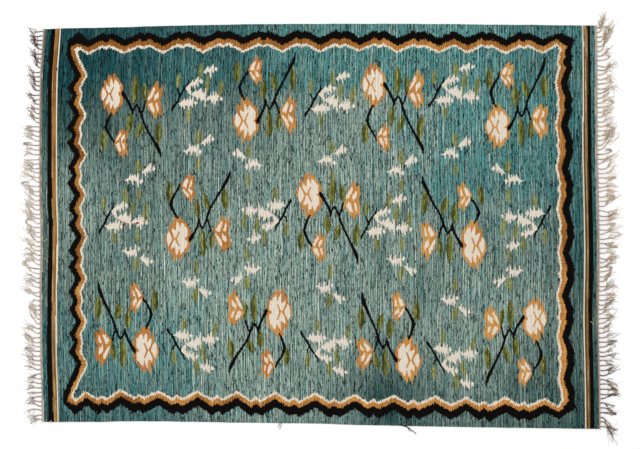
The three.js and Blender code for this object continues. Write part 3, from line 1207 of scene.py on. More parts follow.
# Tassels that lie together: from one share of the end to another, they are drawn towards one tip.
CLUMPS = {
    "left": (
        {"from": 0.2, "to": 0.24, "tip": (-1244, 502), "pull": 0.6},
        {"from": 0.25, "to": 0.29, "tip": (-1272, 403), "pull": 0.55},
        {"from": 0.33, "to": 0.365, "tip": (-1270, 270), "pull": 0.55},
        {"from": 0.44, "to": 0.475, "tip": (-1273, 98), "pull": 0.65},
        {"from": 0.6, "to": 0.63, "tip": (-1268, -120), "pull": 0.4},
        {"from": 0.66, "to": 0.685, "tip": (-1276, -272), "pull": 0.8},
        {"from": 0.69, "to": 0.76, "tip": (-1228, -350), "pull": 0.5},
        {"from": 0.78, "to": 0.81, "tip": (-1270, -478), "pull": 0.75},
        {"from": 0.87, "to": 0.9, "tip": (-1250, -655), "pull": 0.6},
        {"from": 0.93, "to": 0.96, "tip": (-1256, -752), "pull": 0.5},
    ),
    "right": (
        {"from": 0.0, "to": 0.03, "tip": (1262, -915), "pull": 0.5},
        {"from": 0.04, "to": 0.065, "tip": (1268, -800), "pull": 0.6},
        {"from": 0.07, "to": 0.125, "tip": (1272, -722), "pull": 0.7},
        {"from": 0.135, "to": 0.17, "tip": (1256, -607), "pull": 0.6},
        {"from": 0.17, "to": 0.19, "tip": (1274, -551), "pull": 0.8},
        {"from": 0.29, "to": 0.34, "tip": (1266, -312), "pull": 0.65},
        {"from": 0.345, "to": 0.365, "tip": (1270, -254), "pull": 0.7},
        {"from": 0.44, "to": 0.465, "tip": (1268, -91), "pull": 0.6},
        {"from": 0.48, "to": 0.5, "tip": (1278, -9), "pull": 0.8},
        {"from": 0.515, "to": 0.54, "tip": (1273, 51), "pull": 0.75},
        {"from": 0.55, "to": 0.59, "tip": (1265, 124), "pull": 0.65},
        {"from": 0.61, "to": 0.63, "tip": (1267, 206), "pull": 0.6},
        {"from": 0.685, "to": 0.745, "tip": (1262, 420), "pull": 0.6},
        {"from": 0.82, "to": 0.84, "tip": (1261, 580), "pull": 0.7},
        {"from": 0.885, "to": 0.91, "tip": (1262, 700), "pull": 0.6},
        {"from": 0.925, "to": 0.98, "tip": (1241, 861), "pull": 0.8},
        {"from": 0.98, "to": 1.0, "tip": (1212, 905), "pull": 0.85},
    ),
}

# One tassel in so many turns back on itself in a loop.
LOOP_EVERY = {"left": 9, "right": 5}


def bezier(points, share):
    """A smooth curve from the first point to the last, drawn towards the two between them."""
    rest = 1 - share
    weights = np.column_stack((rest ** 3, 3 * rest ** 2 * share, 3 * rest * share ** 2, share ** 3))
    return weights @ np.array(points)


def turned(direction, angle):
    """A level direction turned counter-clockwise."""
    return np.array((
        direction[0] * math.cos(angle) - direction[1] * math.sin(angle),
        direction[0] * math.sin(angle) + direction[1] * math.cos(angle),
    ))


def level_stray(chance, amount):
    """A level step in a random direction, of about this length."""
    return np.array((chance.gauss(0, amount), chance.gauss(0, amount)))


def rope_route(rope, base, outward, reach, chance):
    """The four points of a course that lies over to a rope and then follows it."""
    foot = np.array(rope["foot"], float)
    run = np.array(rope["tip"], float) - foot
    run_length = np.linalg.norm(run)
    met = (base + outward * ROPE_JOIN["out"] - foot) @ run / run_length ** 2
    met = min(ROPE_JOIN["latest"], max(0.0, met))
    meeting = foot + run * met
    left_over = max(ROPE_JOIN["least"], reach - np.linalg.norm(meeting - base))
    tip = foot + run * min(ROPE_JOIN["end"], met + left_over / run_length)
    stray = level_stray(chance, ROPE_JOIN["stray"])
    return [base, base + outward * chance.uniform(*ROPE_JOIN["start"]), meeting + stray, tip + stray]


def tassel_route(end, knot, base, chance):
    """The four points that draw one tassel's course: out from the knot, then over to its tip."""
    outward = outward_of(EDGES[end])
    along = (knot + 0.5) / TASSELS_PER_END
    lean = math.radians(look_up(TASSEL_LIE[end], "lean", along) + chance.gauss(0, LEAN_STRAY))
    reach = look_up(TASSEL_LIE[end], "reach", along) * chance.uniform(*REACH_STRAY)
    tip = base + reach * (outward * math.cos(lean) + np.array((0.0, math.sin(lean))))
    for rope in ROPES[end]:
        if rope["from"] <= along < rope["to"]:
            return rope_route(rope, base, outward, reach, chance)
    for clump in CLUMPS[end]:
        if clump["from"] <= along < clump["to"]:
            tip = tip + (np.array(clump["tip"], float) - tip) * clump["pull"]
    far = np.linalg.norm(tip - base)
    towards = (tip - base) / far
    swing = math.copysign(1, outward[0]) * math.copysign(1, towards[1])
    start_turn = -swing * math.radians(chance.uniform(*SWING))
    if knot % LOOP_EVERY[end] == LOOP_EVERY[end] - 2:
        return [
            base, base + outward * far * LOOP_COURSE["start"],
            tip + outward * far * LOOP_COURSE["past"], tip - outward * far * LOOP_COURSE["back"],
        ]
    start = base + turned(outward, start_turn) * far * COURSE["start"]
    bend = tip - turned(towards, chance.gauss(0, COURSE["turn"])) * far * COURSE["end"]
    return [base, start, bend, tip]


def tassel_strands(end, knot, settings):
    """The strands of one tassel, twisted together at first and frayed at the tip, and its fibres."""
    edge = EDGES[end]
    along = (knot + 0.5) / TASSELS_PER_END
    chance = random.Random(f"{end} {knot}")
    base = edge_point(edge, along) + outward_of(edge) * (KNOT_ROW_GAP + KNOT_ROW_WIDTH - TASSEL_ROOT)
    route = tassel_route(end, knot, base, chance)
    share = np.linspace(0, 1, STRAND_STEPS)
    core = bezier(route, share)
    far = np.linalg.norm(route[3] - base)
    opening = chance.uniform(*OPENING)
    tone = look_up(TASSEL_LIE[end], "tone", along)
    strands = []
    for number in range(settings.strands + settings.fibres):
        kind = YARN_KINDS["strand" if number < settings.strands else "fibre"]
        stray = settings.spread * far * kind["scatter"]
        own_tip = route[3] + level_stray(chance, stray)
        own_bend = route[2] + level_stray(chance, stray)
        own = bezier((route[0], route[1], own_bend, own_tip), share)
        free = np.clip((share - opening * kind["opening"]) / OPENING_RUN, 0, 1)
        free = free * free * (3 - 2 * free)
        path = core + (own - core) * free[:, None]
        heading = np.gradient(path, axis=0)
        heading /= np.linalg.norm(heading, axis=1, keepdims=True)
        twist = 2 * math.pi * (number / settings.strands + share * far / TWIST_LENGTH)
        bundle = BUNDLE_RADIUS * (1 - free)
        phase = 2 * math.pi * share * far / CRIMP_WAVE + chance.uniform(0, ANY_PHASE)
        sideways = bundle * np.cos(twist) + settings.crimp / MM * np.sin(phase) * free
        path = path + np.column_stack((-heading[:, 1], heading[:, 0])) * sideways[:, None]
        radius = settings.yarn / MM / 2 * (1 - YARN_TAPER * share ** 2) * kind["thick"]
        height = FLOOR_GAP + bundle * (1 + np.sin(twist)) + chance.uniform(0.0, PILE_HEIGHT) * free
        # A strand's own tone. The dark ones are painted shade for the shadows between strands.
        own_tone = min(1.0, max(0.0, chance.gauss(tone, TONE_STRAY)))
        strands.append(as_strand(np.column_stack((path, height + radius)), radius, own_tone))
    return strands


KNOT_MIDDLE = 4.6
WRAP_TURNS = 2.2
WRAP_STEPS = 22
WRAP_RADIUS = 1.8
WRAP_YARN = 0.6
WRAP_LENGTH = 3.0
WRAP_WIDTHS = (0.95, 1.25)


def knot_wrap(end, knot):
    """The few turns of yarn that bind a tassel's warps together at the cloth."""
    edge = EDGES[end]
    outward = outward_of(edge)
    chance = random.Random(f"wrap {end} {knot}")
    middle = edge_point(edge, (knot + 0.5) / TASSELS_PER_END) + outward * (KNOT_ROW_GAP + KNOT_MIDDLE)
    turn = np.linspace(0, 2 * math.pi * WRAP_TURNS, WRAP_STEPS) + chance.uniform(0, ANY_PHASE)
    forward = np.linspace(0, WRAP_LENGTH, WRAP_STEPS)
    across = np.array((-outward[1], outward[0]))
    sideways = WRAP_RADIUS * np.cos(turn) * chance.uniform(*WRAP_WIDTHS)
    level = middle + outward * forward[:, None] + across * sideways[:, None]
    height = WRAP_RADIUS + WRAP_YARN + WRAP_RADIUS * np.sin(turn)
    points = np.column_stack((level, height))
    reference = np.array((*outward, 0.0))
    # The random tone darkens many wraps towards the dark colour: painted shade at the foot of each tassel.
    return as_strand(points, np.full(WRAP_STEPS, WRAP_YARN), chance.random(), reference)


TWINE_STEP = 2.4
TWINE_TURN = 12.0
TWINE_RADIUS = 1.25
TWINE_YARN = 1.5
TWINE_PLIES = ({"phase": 0.0, "tone": 0.85}, {"phase": math.pi, "tone": 1.0})


def twined_cord(end):
    """The two plies that are twined along the last weft."""
    edge = EDGES[end]
    outward = outward_of(edge)
    run = np.linalg.norm(edge[-1] - edge[0])
    steps = round(run / TWINE_STEP)
    middle = np.array([edge_point(edge, k / steps) for k in range(steps + 1)])
    turn = np.arange(steps + 1) * TWINE_STEP / TWINE_TURN * 2 * math.pi
    plies = []
    for ply in TWINE_PLIES:
        out = KNOT_ROW_GAP + TWINE_RADIUS + TWINE_YARN + TWINE_RADIUS * np.cos(turn + ply["phase"])
        height = TWINE_RADIUS + TWINE_YARN + TWINE_RADIUS * np.sin(turn + ply["phase"])
        points = np.column_stack((middle + outward * out[:, None], height))
        plies.append(as_strand(points, np.full(steps + 1, TWINE_YARN), ply["tone"]))
    return plies

# Loose ends of yarn as level routes, with the height of what they lie on and their yarn.
DARK_TAIL = {"yarn": "black", "height": 0.0}
PALE_END = {"yarn": "fringe", "height": 3.2, "radius": 0.8}
LOOSE_ENDS = (
    {
        "name": "dark_tail_a", **DARK_TAIL, "radius": 1.1,
        "route": ((-166, -846), (-171, -858), (-172, -868), (-179, -879)),
    },
    {
        "name": "dark_tail_b", **DARK_TAIL, "radius": 0.9,
        "route": ((-172, -848), (-178, -856), (-180, -866), (-186, -872)),
    },
    {
        "name": "dark_tail_c", **DARK_TAIL, "radius": 1.8,
        "route": ((333, -857), (352, -864), (371, -868), (386, -880), (404, -893), (410, -899)),
    },
    {
        "name": "dark_tail_d", **DARK_TAIL, "radius": 1.2,
        "route": ((362, -858), (374, -872), (380, -884), (388, -889)),
    },
    {"name": "pale_end_a", **PALE_END, "route": ((-1196, -78), (-1189, -72), (-1182, -66), (-1173, -57))},
    {"name": "pale_end_b", **PALE_END, "route": ((-1190, -140), (-1182, -146), (-1175, -155), (-1171, -162))},
    {"name": "pale_end_c", **PALE_END, "route": ((-1172, -848), (-1163, -846), (-1155, -838))},
    {"name": "pale_end_d", **PALE_END, "route": ((1158, -414), (1164, -419), (1169, -424), (1171, -433))},
)
LOOSE_STEPS = 24
LOOSE_SMOOTHING = 3
LOOSE_TAPER = 0.5
LOOSE_LIFT = 0.6
LOOSE_WAVE = 7
LOOSE_TONE = 0.5
LOOSE_START = 0.3


def loose_strand(row):
    """One loose end as a smooth strand that waves a little and thins at its tip."""
    route = np.array(row["route"], float)
    places = np.linspace(0, len(route) - 1, LOOSE_STEPS)
    level = np.column_stack([np.interp(places, range(len(route)), route[:, axis]) for axis in (0, 1)])
    smooth = level.copy()
    for _ in range(LOOSE_SMOOTHING):
        smooth[1:-1] = (smooth[:-2] + 2 * smooth[1:-1] + smooth[2:]) / 4
    share = np.linspace(0, 1, LOOSE_STEPS)
    radii = row["radius"] * (1 - LOOSE_TAPER * share ** 3)
    height = row["height"] + row["radius"] + LOOSE_LIFT * np.sin(share * LOOSE_WAVE) ** 2
    return as_strand(np.column_stack((smooth, height)), radii, LOOSE_TONE, start=LOOSE_START)


# Materials


# How weft noise jumps from one group of wefts to the next, and how far it is spread.
WEFT_JUMP = 7.31
WEFT_SHIFT = 3.17
WEFT_SPREAD = 1.6


def opaque(colour):
    """A colour as a shader's sockets take it."""
    return (*colour, 1.0)


class NodeKit:
    """Adds shader nodes to a tree, and links or sets their sockets in one call."""

    def __init__(self, tree):
        self.tree = tree

    def add(self, kind, sockets=None, **settings):
        """A node with its settings, and with its sockets linked or set."""
        node = self.tree.nodes.new(kind)
        for name, value in settings.items():
            setattr(node, name, value)
        for socket, value in (sockets or {}).items():
            if isinstance(value, bpy.types.NodeSocket):
                self.tree.links.new(value, node.inputs[socket])
            else:
                node.inputs[socket].default_value = value
        return node

    def group(self, tree, sockets):
        """A node that holds a node group, with its sockets linked or set."""
        return self.add("ShaderNodeGroup", sockets, node_tree=tree)

    def chart_place(self):
        """Where a point of the cloth lies on the chart, in metres, whole and taken apart."""
        place = self.add("ShaderNodeUVMap", uv_map="weave").outputs["UV"]
        return place, self.add("ShaderNodeSeparateXYZ", {0: place})

    def math(self, operation, *values, clamp=False):
        """The result of one Math node."""
        sockets = dict(enumerate(values))
        return self.add("ShaderNodeMath", sockets, operation=operation, use_clamp=clamp).outputs[0]

    def mix(self, share, first, second, blend="MIX"):
        """The colour between two colours."""
        sockets = {"Factor": share, 6: first, 7: second}
        return self.add("ShaderNodeMix", sockets, data_type="RGBA", blend_type=blend).outputs[2]

    def grade(self, value, low, high, start=0.0, end=1.0):
        """A value spread smoothly from one range to another, and held at both ends."""
        sockets = {"Value": value, "From Min": low, "From Max": high, "To Min": start, "To Max": end}
        return self.add("ShaderNodeMapRange", sockets, interpolation_type="SMOOTHSTEP").outputs["Result"]

    def stretched_noise(self, place, per_u, per_v, seed, detail=1.0):
        """Noise that changes this many times a metre along the warps and across them."""
        scaled = self.add(
            "ShaderNodeVectorMath", {0: place, 1: (per_u, per_v, 0.0), 2: (seed, seed * 1.7, 0.0)},
            operation="MULTIPLY_ADD").outputs[0]
        return self.add(
            "ShaderNodeTexNoise", {"Vector": scaled, "Scale": 1.0, "Detail": detail, "Roughness": 0.55},
            noise_dimensions="2D").outputs["Fac"]

    def clouds(self, place, per_u, per_v, seed, detail=2.0):
        """The same noise, as much below zero as above it."""
        return self.math("SUBTRACT", self.stretched_noise(place, per_u, per_v, seed, detail), 0.5)

    def weft_noise(self, parts, wefts, per_v, seed, ahead=0.0):
        """Noise that jumps from one group of wefts to the next, and changes this many times a
        metre along them. It is spread to run from about -0.5 to 0.5."""
        number = self.math("FLOOR", self.math("DIVIDE", parts.outputs["X"], wefts))
        number = self.math("ADD", number, ahead)
        shift = self.math("MULTIPLY", number, WEFT_SHIFT)
        along = self.math("MULTIPLY_ADD", parts.outputs["Y"], per_v, shift)
        jump = self.math("MULTIPLY_ADD", number, WEFT_JUMP, seed)
        spot = self.add("ShaderNodeCombineXYZ", {0: jump, 1: along})
        waves = self.add(
            "ShaderNodeTexNoise", {"Vector": spot.outputs[0], "Scale": 1.0, "Detail": 0.0},
            noise_dimensions="2D").outputs["Fac"]
        return self.math("MULTIPLY_ADD", waves, WEFT_SPREAD, -WEFT_SPREAD / 2)


def shader_group(name, inputs, outputs):
    """An empty node group with these sockets, its kit, and its two end nodes."""
    tree = bpy.data.node_groups.new(name, "ShaderNodeTree")
    for socket, kind in inputs:
        tree.interface.new_socket(name=socket, in_out="INPUT", socket_type=kind)
    for socket, kind in outputs:
        tree.interface.new_socket(name=socket, in_out="OUTPUT", socket_type=kind)
    kit = NodeKit(tree)
    return tree, kit, kit.add("NodeGroupInput"), kit.add("NodeGroupOutput")


def flat_weave_group():
    """Relief of a weft-faced weave: a ridge over every warp, and a bead for every pick on it."""
    inputs = (("Pick", "NodeSocketFloat"), ("Warp", "NodeSocketFloat"))
    tree, kit, given, out = shader_group("Flat weave", inputs, (("Height", "NodeSocketFloat"),))
    place, parts = kit.chart_place()
    warps = kit.math("DIVIDE", parts.outputs["Y"], given.outputs["Warp"])
    ridge = kit.math("ABSOLUTE", kit.math("SINE", kit.math("MULTIPLY", warps, math.pi)))
    picks = kit.math("DIVIDE", parts.outputs["X"], given.outputs["Pick"])
    shifted = kit.math("ADD", picks, kit.math("MULTIPLY", kit.math("FLOOR", warps), 0.5))
    bead = kit.math("ABSOLUTE", kit.math("SINE", kit.math("MULTIPLY", shifted, math.pi)))
    beaded = kit.math("MULTIPLY", ridge, kit.math("MULTIPLY_ADD", bead, 0.5, 0.5))
    fuzz = kit.stretched_noise(place, per_u=900.0, per_v=350.0, seed=2.0)
    height = kit.math("MULTIPLY_ADD", fuzz, 0.5, beaded)
    kit.tree.links.new(height, out.inputs["Height"])
    return tree


# Groups of wefts that were dyed alike, in picks.
WEFT_GROUPS = {"wide": 2.6, "narrow": 2.0}

# The streaks of a hand-dyed wool, from the longest to the shortest: how often each changes along a
# metre of weft, and how much it counts. A paired streak turns light beside dark.
STREAKS = (
    {"group": "wide", "per_v": 4.0, "seed": 11.0, "amount": 1.9, "paired": True},
    {"group": "wide", "per_v": 14.0, "seed": 17.0, "amount": 1.0, "paired": True},
    {"group": "narrow", "per_v": 55.0, "seed": 23.0, "amount": 0.6, "paired": False},
    {"group": "narrow", "per_v": 260.0, "seed": 41.0, "amount": 1.4, "paired": False},
)
NEXT_GROUP = -0.5
STREAK_CLOUDS = 0.4

# How much weaker the light streaks are than the dark ones.
LIGHT_SIDE = -0.38

# Dark dashes: short ones, and long lines that are broken up, where the noise lies in these ranges.
DASHES = {
    "short": {"per_v": 34.0, "seed": 53.0, "low": 0.26, "high": 0.33},
    "long": {"per_v": 7.0, "seed": 67.0, "low": 0.27, "high": 0.34},
    "broken": {"per_v": 70.0, "seed": 79.0, "low": -0.2, "high": 0.0},
}
DASH_DEPTH = 0.85


def hand_dyed_group():
    """A dye as it comes out in hand-spun wool: streaks along the wefts, and darker dashes."""
    inputs = (
        ("Dye", "NodeSocketColor"), ("Streaks", "NodeSocketFloat"), ("Dashes", "NodeSocketFloat"),
        ("Fading", "NodeSocketFloat"), ("Pick", "NodeSocketFloat"),
    )
    tree, kit, given, out = shader_group("Hand-dyed wool", inputs, (("Color", "NodeSocketColor"),))
    place, parts = kit.chart_place()
    groups = {name: kit.math("MULTIPLY", given.outputs["Pick"], picks) for name, picks in WEFT_GROUPS.items()}

    def streak(row):
        wefts = groups[row["group"]]
        own = kit.weft_noise(parts, wefts, row["per_v"], row["seed"])
        if not row["paired"]:
            return own
        after = kit.weft_noise(parts, wefts, row["per_v"], row["seed"], ahead=1.0)
        return kit.math("MULTIPLY_ADD", after, NEXT_GROUP, own)

    def dash(name):
        row = DASHES[name]
        waves = kit.weft_noise(parts, groups["narrow"], row["per_v"], row["seed"])
        return kit.grade(waves, row["low"], row["high"])

    total = 0.0
    for row in STREAKS:
        total = kit.math("MULTIPLY_ADD", streak(row), row["amount"], total)
    cloud = kit.clouds(place, per_u=16.0, per_v=9.0, seed=37.0)
    total = kit.math("MULTIPLY_ADD", cloud, STREAK_CLOUDS, total)
    total = kit.math("MULTIPLY", total, given.outputs["Streaks"])
    total = kit.math("MULTIPLY_ADD", kit.math("MAXIMUM", total, 0.0), LIGHT_SIDE, total)
    dark = kit.math("MAXIMUM", dash("short"), kit.math("MULTIPLY", dash("long"), dash("broken")))
    kept = kit.math("MULTIPLY_ADD", kit.math("MULTIPLY", dark, given.outputs["Dashes"]), -DASH_DEPTH, 1.0)
    shade = kit.math("MULTIPLY", kit.math("EXPONENT", total), kept)
    red = kit.math("EXPONENT", kit.math("MULTIPLY", total, given.outputs["Fading"]))
    red = kit.math("MULTIPLY", red, kept)
    tint = kit.add("ShaderNodeCombineColor", {0: red, 1: shade, 2: shade}).outputs[0]
    tinted = kit.mix(1.0, given.outputs["Dye"], tint, blend="MULTIPLY")
    kit.tree.links.new(tinted, out.inputs["Color"])
    return tree


def new_wool(name, roughness):
    """A material of dull wool, its kit and its shader."""
    material = bpy.data.materials.new(name)
    material.use_nodes = True
    material.node_tree.nodes.clear()
    kit = NodeKit(material.node_tree)
    shader = kit.add("ShaderNodeBsdfPrincipled", {"Roughness": roughness, "Specular IOR Level": 0.04})
    kit.add("ShaderNodeOutputMaterial", {"Surface": shader.outputs["BSDF"]})
    return material, kit, shader


def dyed_wool(name, dye_source, streaks, dashes, fading, cloth, groups):
    """A woven wool. dye_source is a colour, or a function that makes one in the material's nodes."""
    material, kit, shader = new_wool(name, roughness=0.92)
    colour = dye_source(kit) if callable(dye_source) else opaque(dye_source)
    tone = kit.group(groups["dye"], {
        "Dye": colour, "Streaks": streaks, "Dashes": dashes, "Fading": fading, "Pick": cloth.pick,
    })
    relief = kit.group(groups["weave"], {"Pick": cloth.pick, "Warp": WARP_PITCH * MM})
    bump = kit.add("ShaderNodeBump", {
        "Height": relief.outputs["Height"], "Strength": 0.7, "Distance": 0.5 * MM,
    })
    kit.tree.links.new(tone.outputs["Color"], shader.inputs["Base Color"])
    kit.tree.links.new(bump.outputs["Normal"], shader.inputs["Normal"])
    return material


# Where the ground is lightest: soft round patches, in millimetres of the chart.
LIGHT_PATCHES = (
    {"u": -230, "v": -470, "reach_u": 430, "reach_v": 390, "amount": 1.3},
    {"u": 440, "v": 700, "reach_u": 640, "reach_v": 440, "amount": 1.0},
    {"u": -1040, "v": 120, "reach_u": 110, "reach_v": 190, "amount": 0.85},
    {"u": -1096, "v": 600, "reach_u": 70, "reach_v": 160, "amount": -0.4},
    {"u": -990, "v": -500, "reach_u": 200, "reach_v": 280, "amount": 0.45},
    {"u": -670, "v": 340, "reach_u": 120, "reach_v": 200, "amount": 0.3},
    {"u": -350, "v": 20, "reach_u": 260, "reach_v": 200, "amount": 0.25},
    {"u": 240, "v": -720, "reach_u": 170, "reach_v": 120, "amount": -0.45},
    {"u": 560, "v": 60, "reach_u": 480, "reach_v": 260, "amount": 0.3},
    {"u": 640, "v": -540, "reach_u": 150, "reach_v": 280, "amount": 0.7},
    {"u": 860, "v": -300, "reach_u": 120, "reach_v": 180, "amount": 0.3},
    {"u": 880, "v": 260, "reach_u": 160, "reach_v": 170, "amount": 0.25},
    {"u": 1010, "v": -420, "reach_u": 120, "reach_v": 220, "amount": 0.35},
)


LIGHT_CLOUDS = 0.5
LIGHT_BANDS = 0.45

# Where the ground has stayed teal: the ranges of u and v, in metres of the chart, over which the
# teal sets in along the top, over the right half, in a strip by the right end and at the lower left.
TEAL_TOP = {"low": 0.52, "high": 0.62}
TEAL_RIGHT = {"u": {"low": 0.1, "high": 0.75}, "v": {"low": -0.12, "high": 0.22}}
TEAL_STRIP = {"u": {"low": 1.02, "high": 1.06}, "v": {"low": -0.45, "high": 0.05}}
TEAL_LOW_LEFT = {"u": {"low": -0.3, "high": -0.8, "end": 0.75}, "v": {"low": -0.2, "high": -0.55}}

# How ragged those edges are, and how strongly single groups of wefts turn from them.
TEAL_RAG = {"top": 0.16, "right_u": 0.5, "right_v": 0.4}
TEAL_WEFTS = 1.6
TEAL_PICKS = 3


def ground_light(kit, place):
    """How light the ground has faded, from 0 to 1: soft patches, clouds and bands of wefts."""
    light = 0.0
    for patch in LIGHT_PATCHES:
        from_middle = kit.add("ShaderNodeVectorMath", {
            0: place,
            1: (1 / (patch["reach_u"] * MM), 1 / (patch["reach_v"] * MM), 0.0),
            2: (-patch["u"] / patch["reach_u"], -patch["v"] / patch["reach_v"], 0.0),
        }, operation="MULTIPLY_ADD").outputs[0]
        squared = kit.add("ShaderNodeVectorMath", {0: from_middle, 1: from_middle}, operation="DOT_PRODUCT")
        glow = kit.math("EXPONENT", kit.math("MULTIPLY", squared.outputs["Value"], -0.5))
        light = kit.math("MULTIPLY_ADD", glow, patch["amount"], light)
    cloud = kit.clouds(place, per_u=4.0, per_v=3.0, seed=61.0)
    band = kit.clouds(place, per_u=26.0, per_v=1.2, seed=71.0, detail=1.0)
    light = kit.math("MULTIPLY_ADD", cloud, LIGHT_CLOUDS, light)
    return kit.math("MULTIPLY_ADD", band, LIGHT_BANDS, light, clamp=True)


def ground_teal(kit, place, parts, cloth):
    """How teal the ground has stayed, from 0 to 1, with single groups of wefts that differ."""
    u = parts.outputs["X"]
    v = parts.outputs["Y"]
    rag = kit.clouds(place, per_u=8.0, per_v=3.0, seed=83.0)

    def within(along, across, ranges):
        return kit.math("MULTIPLY", kit.grade(along, **ranges["u"]), kit.grade(across, **ranges["v"]))

    ragged_u = kit.math("MULTIPLY_ADD", rag, TEAL_RAG["right_u"], u)
    ragged_v = kit.math("MULTIPLY_ADD", rag, TEAL_RAG["right_v"], v)
    teal = kit.grade(kit.math("MULTIPLY_ADD", rag, TEAL_RAG["top"], v), **TEAL_TOP)
    teal = kit.math("MAXIMUM", teal, within(ragged_u, ragged_v, TEAL_RIGHT))
    teal = kit.math("MAXIMUM", teal, within(u, v, TEAL_STRIP))
    teal = kit.math("MAXIMUM", teal, within(u, v, TEAL_LOW_LEFT))
    mixed_wefts = kit.weft_noise(parts, TEAL_PICKS * cloth.pick, per_v=9.0, seed=101.0)
    return kit.math("MULTIPLY_ADD", mixed_wefts, TEAL_WEFTS, teal, clamp=True)


def ground_dye(dyes, cloth):
    """The ground's colour: teal along the top and right, greyer and lighter where it has faded."""

    def build(kit):
        place, parts = kit.chart_place()
        light = ground_light(kit, place)
        teal_colour = kit.mix(light, opaque(dyes.teal_deep), opaque(dyes.teal_light))
        grey_colour = kit.mix(light, opaque(dyes.grey_deep), opaque(dyes.grey_light))
        return kit.mix(ground_teal(kit, place, parts, cloth), grey_colour, teal_colour)

    return build


# Dyes that drift between two shades: how often they change along a metre of u and of v, and how
# much they lean to the second shade with u, with v and towards two opposite corners.
DRIFTING_DYES = {
    "gold": {
        "shades": ("gold_brown", "gold"), "per_u": 9.0, "per_v": 6.0, "seed": 91.0,
        "lean_u": 0.22, "lean_v": -0.3, "lean_corners": 0.0,
    },
    "tan": {
        "shades": ("tan_dark", "tan"), "per_u": 60.0, "per_v": 14.0, "seed": 93.0,
        "lean_u": 0.0, "lean_v": 0.0, "lean_corners": 0.0,
    },
    "orange": {
        "shades": ("orange_left", "orange"), "per_u": 12.0, "per_v": 8.0, "seed": 97.0,
        "lean_u": 0.42, "lean_v": 0.0, "lean_corners": 0.0,
    },
    "heading": {
        "shades": ("heading_soil", "heading"), "per_u": 20.0, "per_v": 22.0, "seed": 99.0,
        "lean_u": 0.0, "lean_v": 0.0, "lean_corners": 0.75,
    },
}
DRIFT_SPREAD = 2.2
DRIFT_MIDDLE = 0.52


def drifting_dye(dyes, row):
    """A dye that drifts between its two shades."""

    def build(kit):
        place, parts = kit.chart_place()
        u = parts.outputs["X"]
        v = parts.outputs["Y"]
        drift = kit.clouds(place, row["per_u"], row["per_v"], row["seed"])
        drift = kit.math("MULTIPLY_ADD", drift, DRIFT_SPREAD, DRIFT_MIDDLE)
        drift = kit.math("MULTIPLY_ADD", kit.math("MULTIPLY", u, v), row["lean_corners"], drift)
        drift = kit.math("MULTIPLY_ADD", u, row["lean_u"], drift)
        drift = kit.math("MULTIPLY_ADD", v, row["lean_v"], drift, clamp=True)
        first, second = (opaque(getattr(dyes, shade)) for shade in row["shades"])
        return kit.mix(drift, first, second)

    return build


# How strongly each yarn is streaked and flecked, and how much redder its light streaks are.
YARN_TEXTURE = {
    "ground": {"streaks": 0.72, "dashes": 1.0, "fading": 1.2},
    "black": {"streaks": 0.3, "dashes": 0.0, "fading": 1.0},
    "gold": {"streaks": 0.35, "dashes": 0.35, "fading": 0.9},
    "tan": {"streaks": 0.6, "dashes": 0.4, "fading": 0.9},
    "brown": {"streaks": 0.5, "dashes": 0.3, "fading": 0.9},
    "cream": {"streaks": 0.12, "dashes": 0.1, "fading": 0.9},
    "white": {"streaks": 0.12, "dashes": 0.08, "fading": 0.9},
    "orange": {"streaks": 0.3, "dashes": 0.15, "fading": 0.9},
    "olive": {"streaks": 0.9, "dashes": 0.5, "fading": 1.0},
    "olive_light": {"streaks": 0.8, "dashes": 0.5, "fading": 1.0},
    "olive_pale": {"streaks": 0.7, "dashes": 0.4, "fading": 1.0},
    "rust": {"streaks": 0.25, "dashes": 0.2, "fading": 1.0},
    "heading": {"streaks": 0.2, "dashes": 0.15, "fading": 1.0},
}


def cloth_materials(dyes, cloth):
    """One material for each yarn, in the order of YARNS."""
    groups = {"dye": hand_dyed_group(), "weave": flat_weave_group()}
    sources = {yarn: drifting_dye(dyes, row) for yarn, row in DRIFTING_DYES.items()}
    sources["ground"] = ground_dye(dyes, cloth)
    return [
        dyed_wool(
            f"wool_{yarn}", sources.get(yarn) or getattr(dyes, yarn), **YARN_TEXTURE[yarn],
            cloth=cloth, groups=groups)
        for yarn in YARNS
    ]


# How strongly soil comes through in yarn that lies free, and how its fibres and its tip are shaded.
SOIL_AMOUNT = 0.9
FIBRE_SHADE = 0.4
DEEPEST_SHADE = 0.66
TIP_SHADE = 0.2


def free_yarn_material(name, dark_colour, pale_colour):
    """Yarn that lies free, between two colours by its tone, and a little paler towards its tip."""
    material, kit, shader = new_wool(name, roughness=0.88)
    along = kit.add("ShaderNodeAttribute", attribute_name="along").outputs["Fac"]
    tone = kit.add("ShaderNodeAttribute", attribute_name="tone").outputs["Fac"]
    place = kit.add("ShaderNodeTexCoord").outputs["Object"]
    soil = kit.add("ShaderNodeTexNoise", {"Vector": place, "Scale": 95.0, "Detail": 2.0}).outputs["Fac"]
    fibre = kit.add("ShaderNodeTexNoise", {"Vector": place, "Scale": 900.0, "Detail": 1.0}).outputs["Fac"]
    # Low tone and soil blotches pull the yarn towards the dark colour, which is partly dirt and partly
    # painted shade.
    pale_share = kit.math("MULTIPLY_ADD", kit.math("SUBTRACT", soil, 0.5), SOIL_AMOUNT, tone, clamp=True)
    colour = kit.mix(pale_share, opaque(dark_colour), opaque(pale_colour))
    shade = kit.math("MULTIPLY_ADD", fibre, FIBRE_SHADE, DEEPEST_SHADE)
    shade = kit.math("MULTIPLY_ADD", along, TIP_SHADE, shade)
    grey = kit.add("ShaderNodeCombineColor", {0: shade, 1: shade, 2: shade}).outputs[0]
    kit.tree.links.new(kit.mix(1.0, colour, grey, blend="MULTIPLY"), shader.inputs["Base Color"])
    bump = kit.add("ShaderNodeBump", {"Height": fibre, "Strength": 0.5, "Distance": 0.2 * MM})
    kit.tree.links.new(bump.outputs["Normal"], shader.inputs["Normal"])
    return material


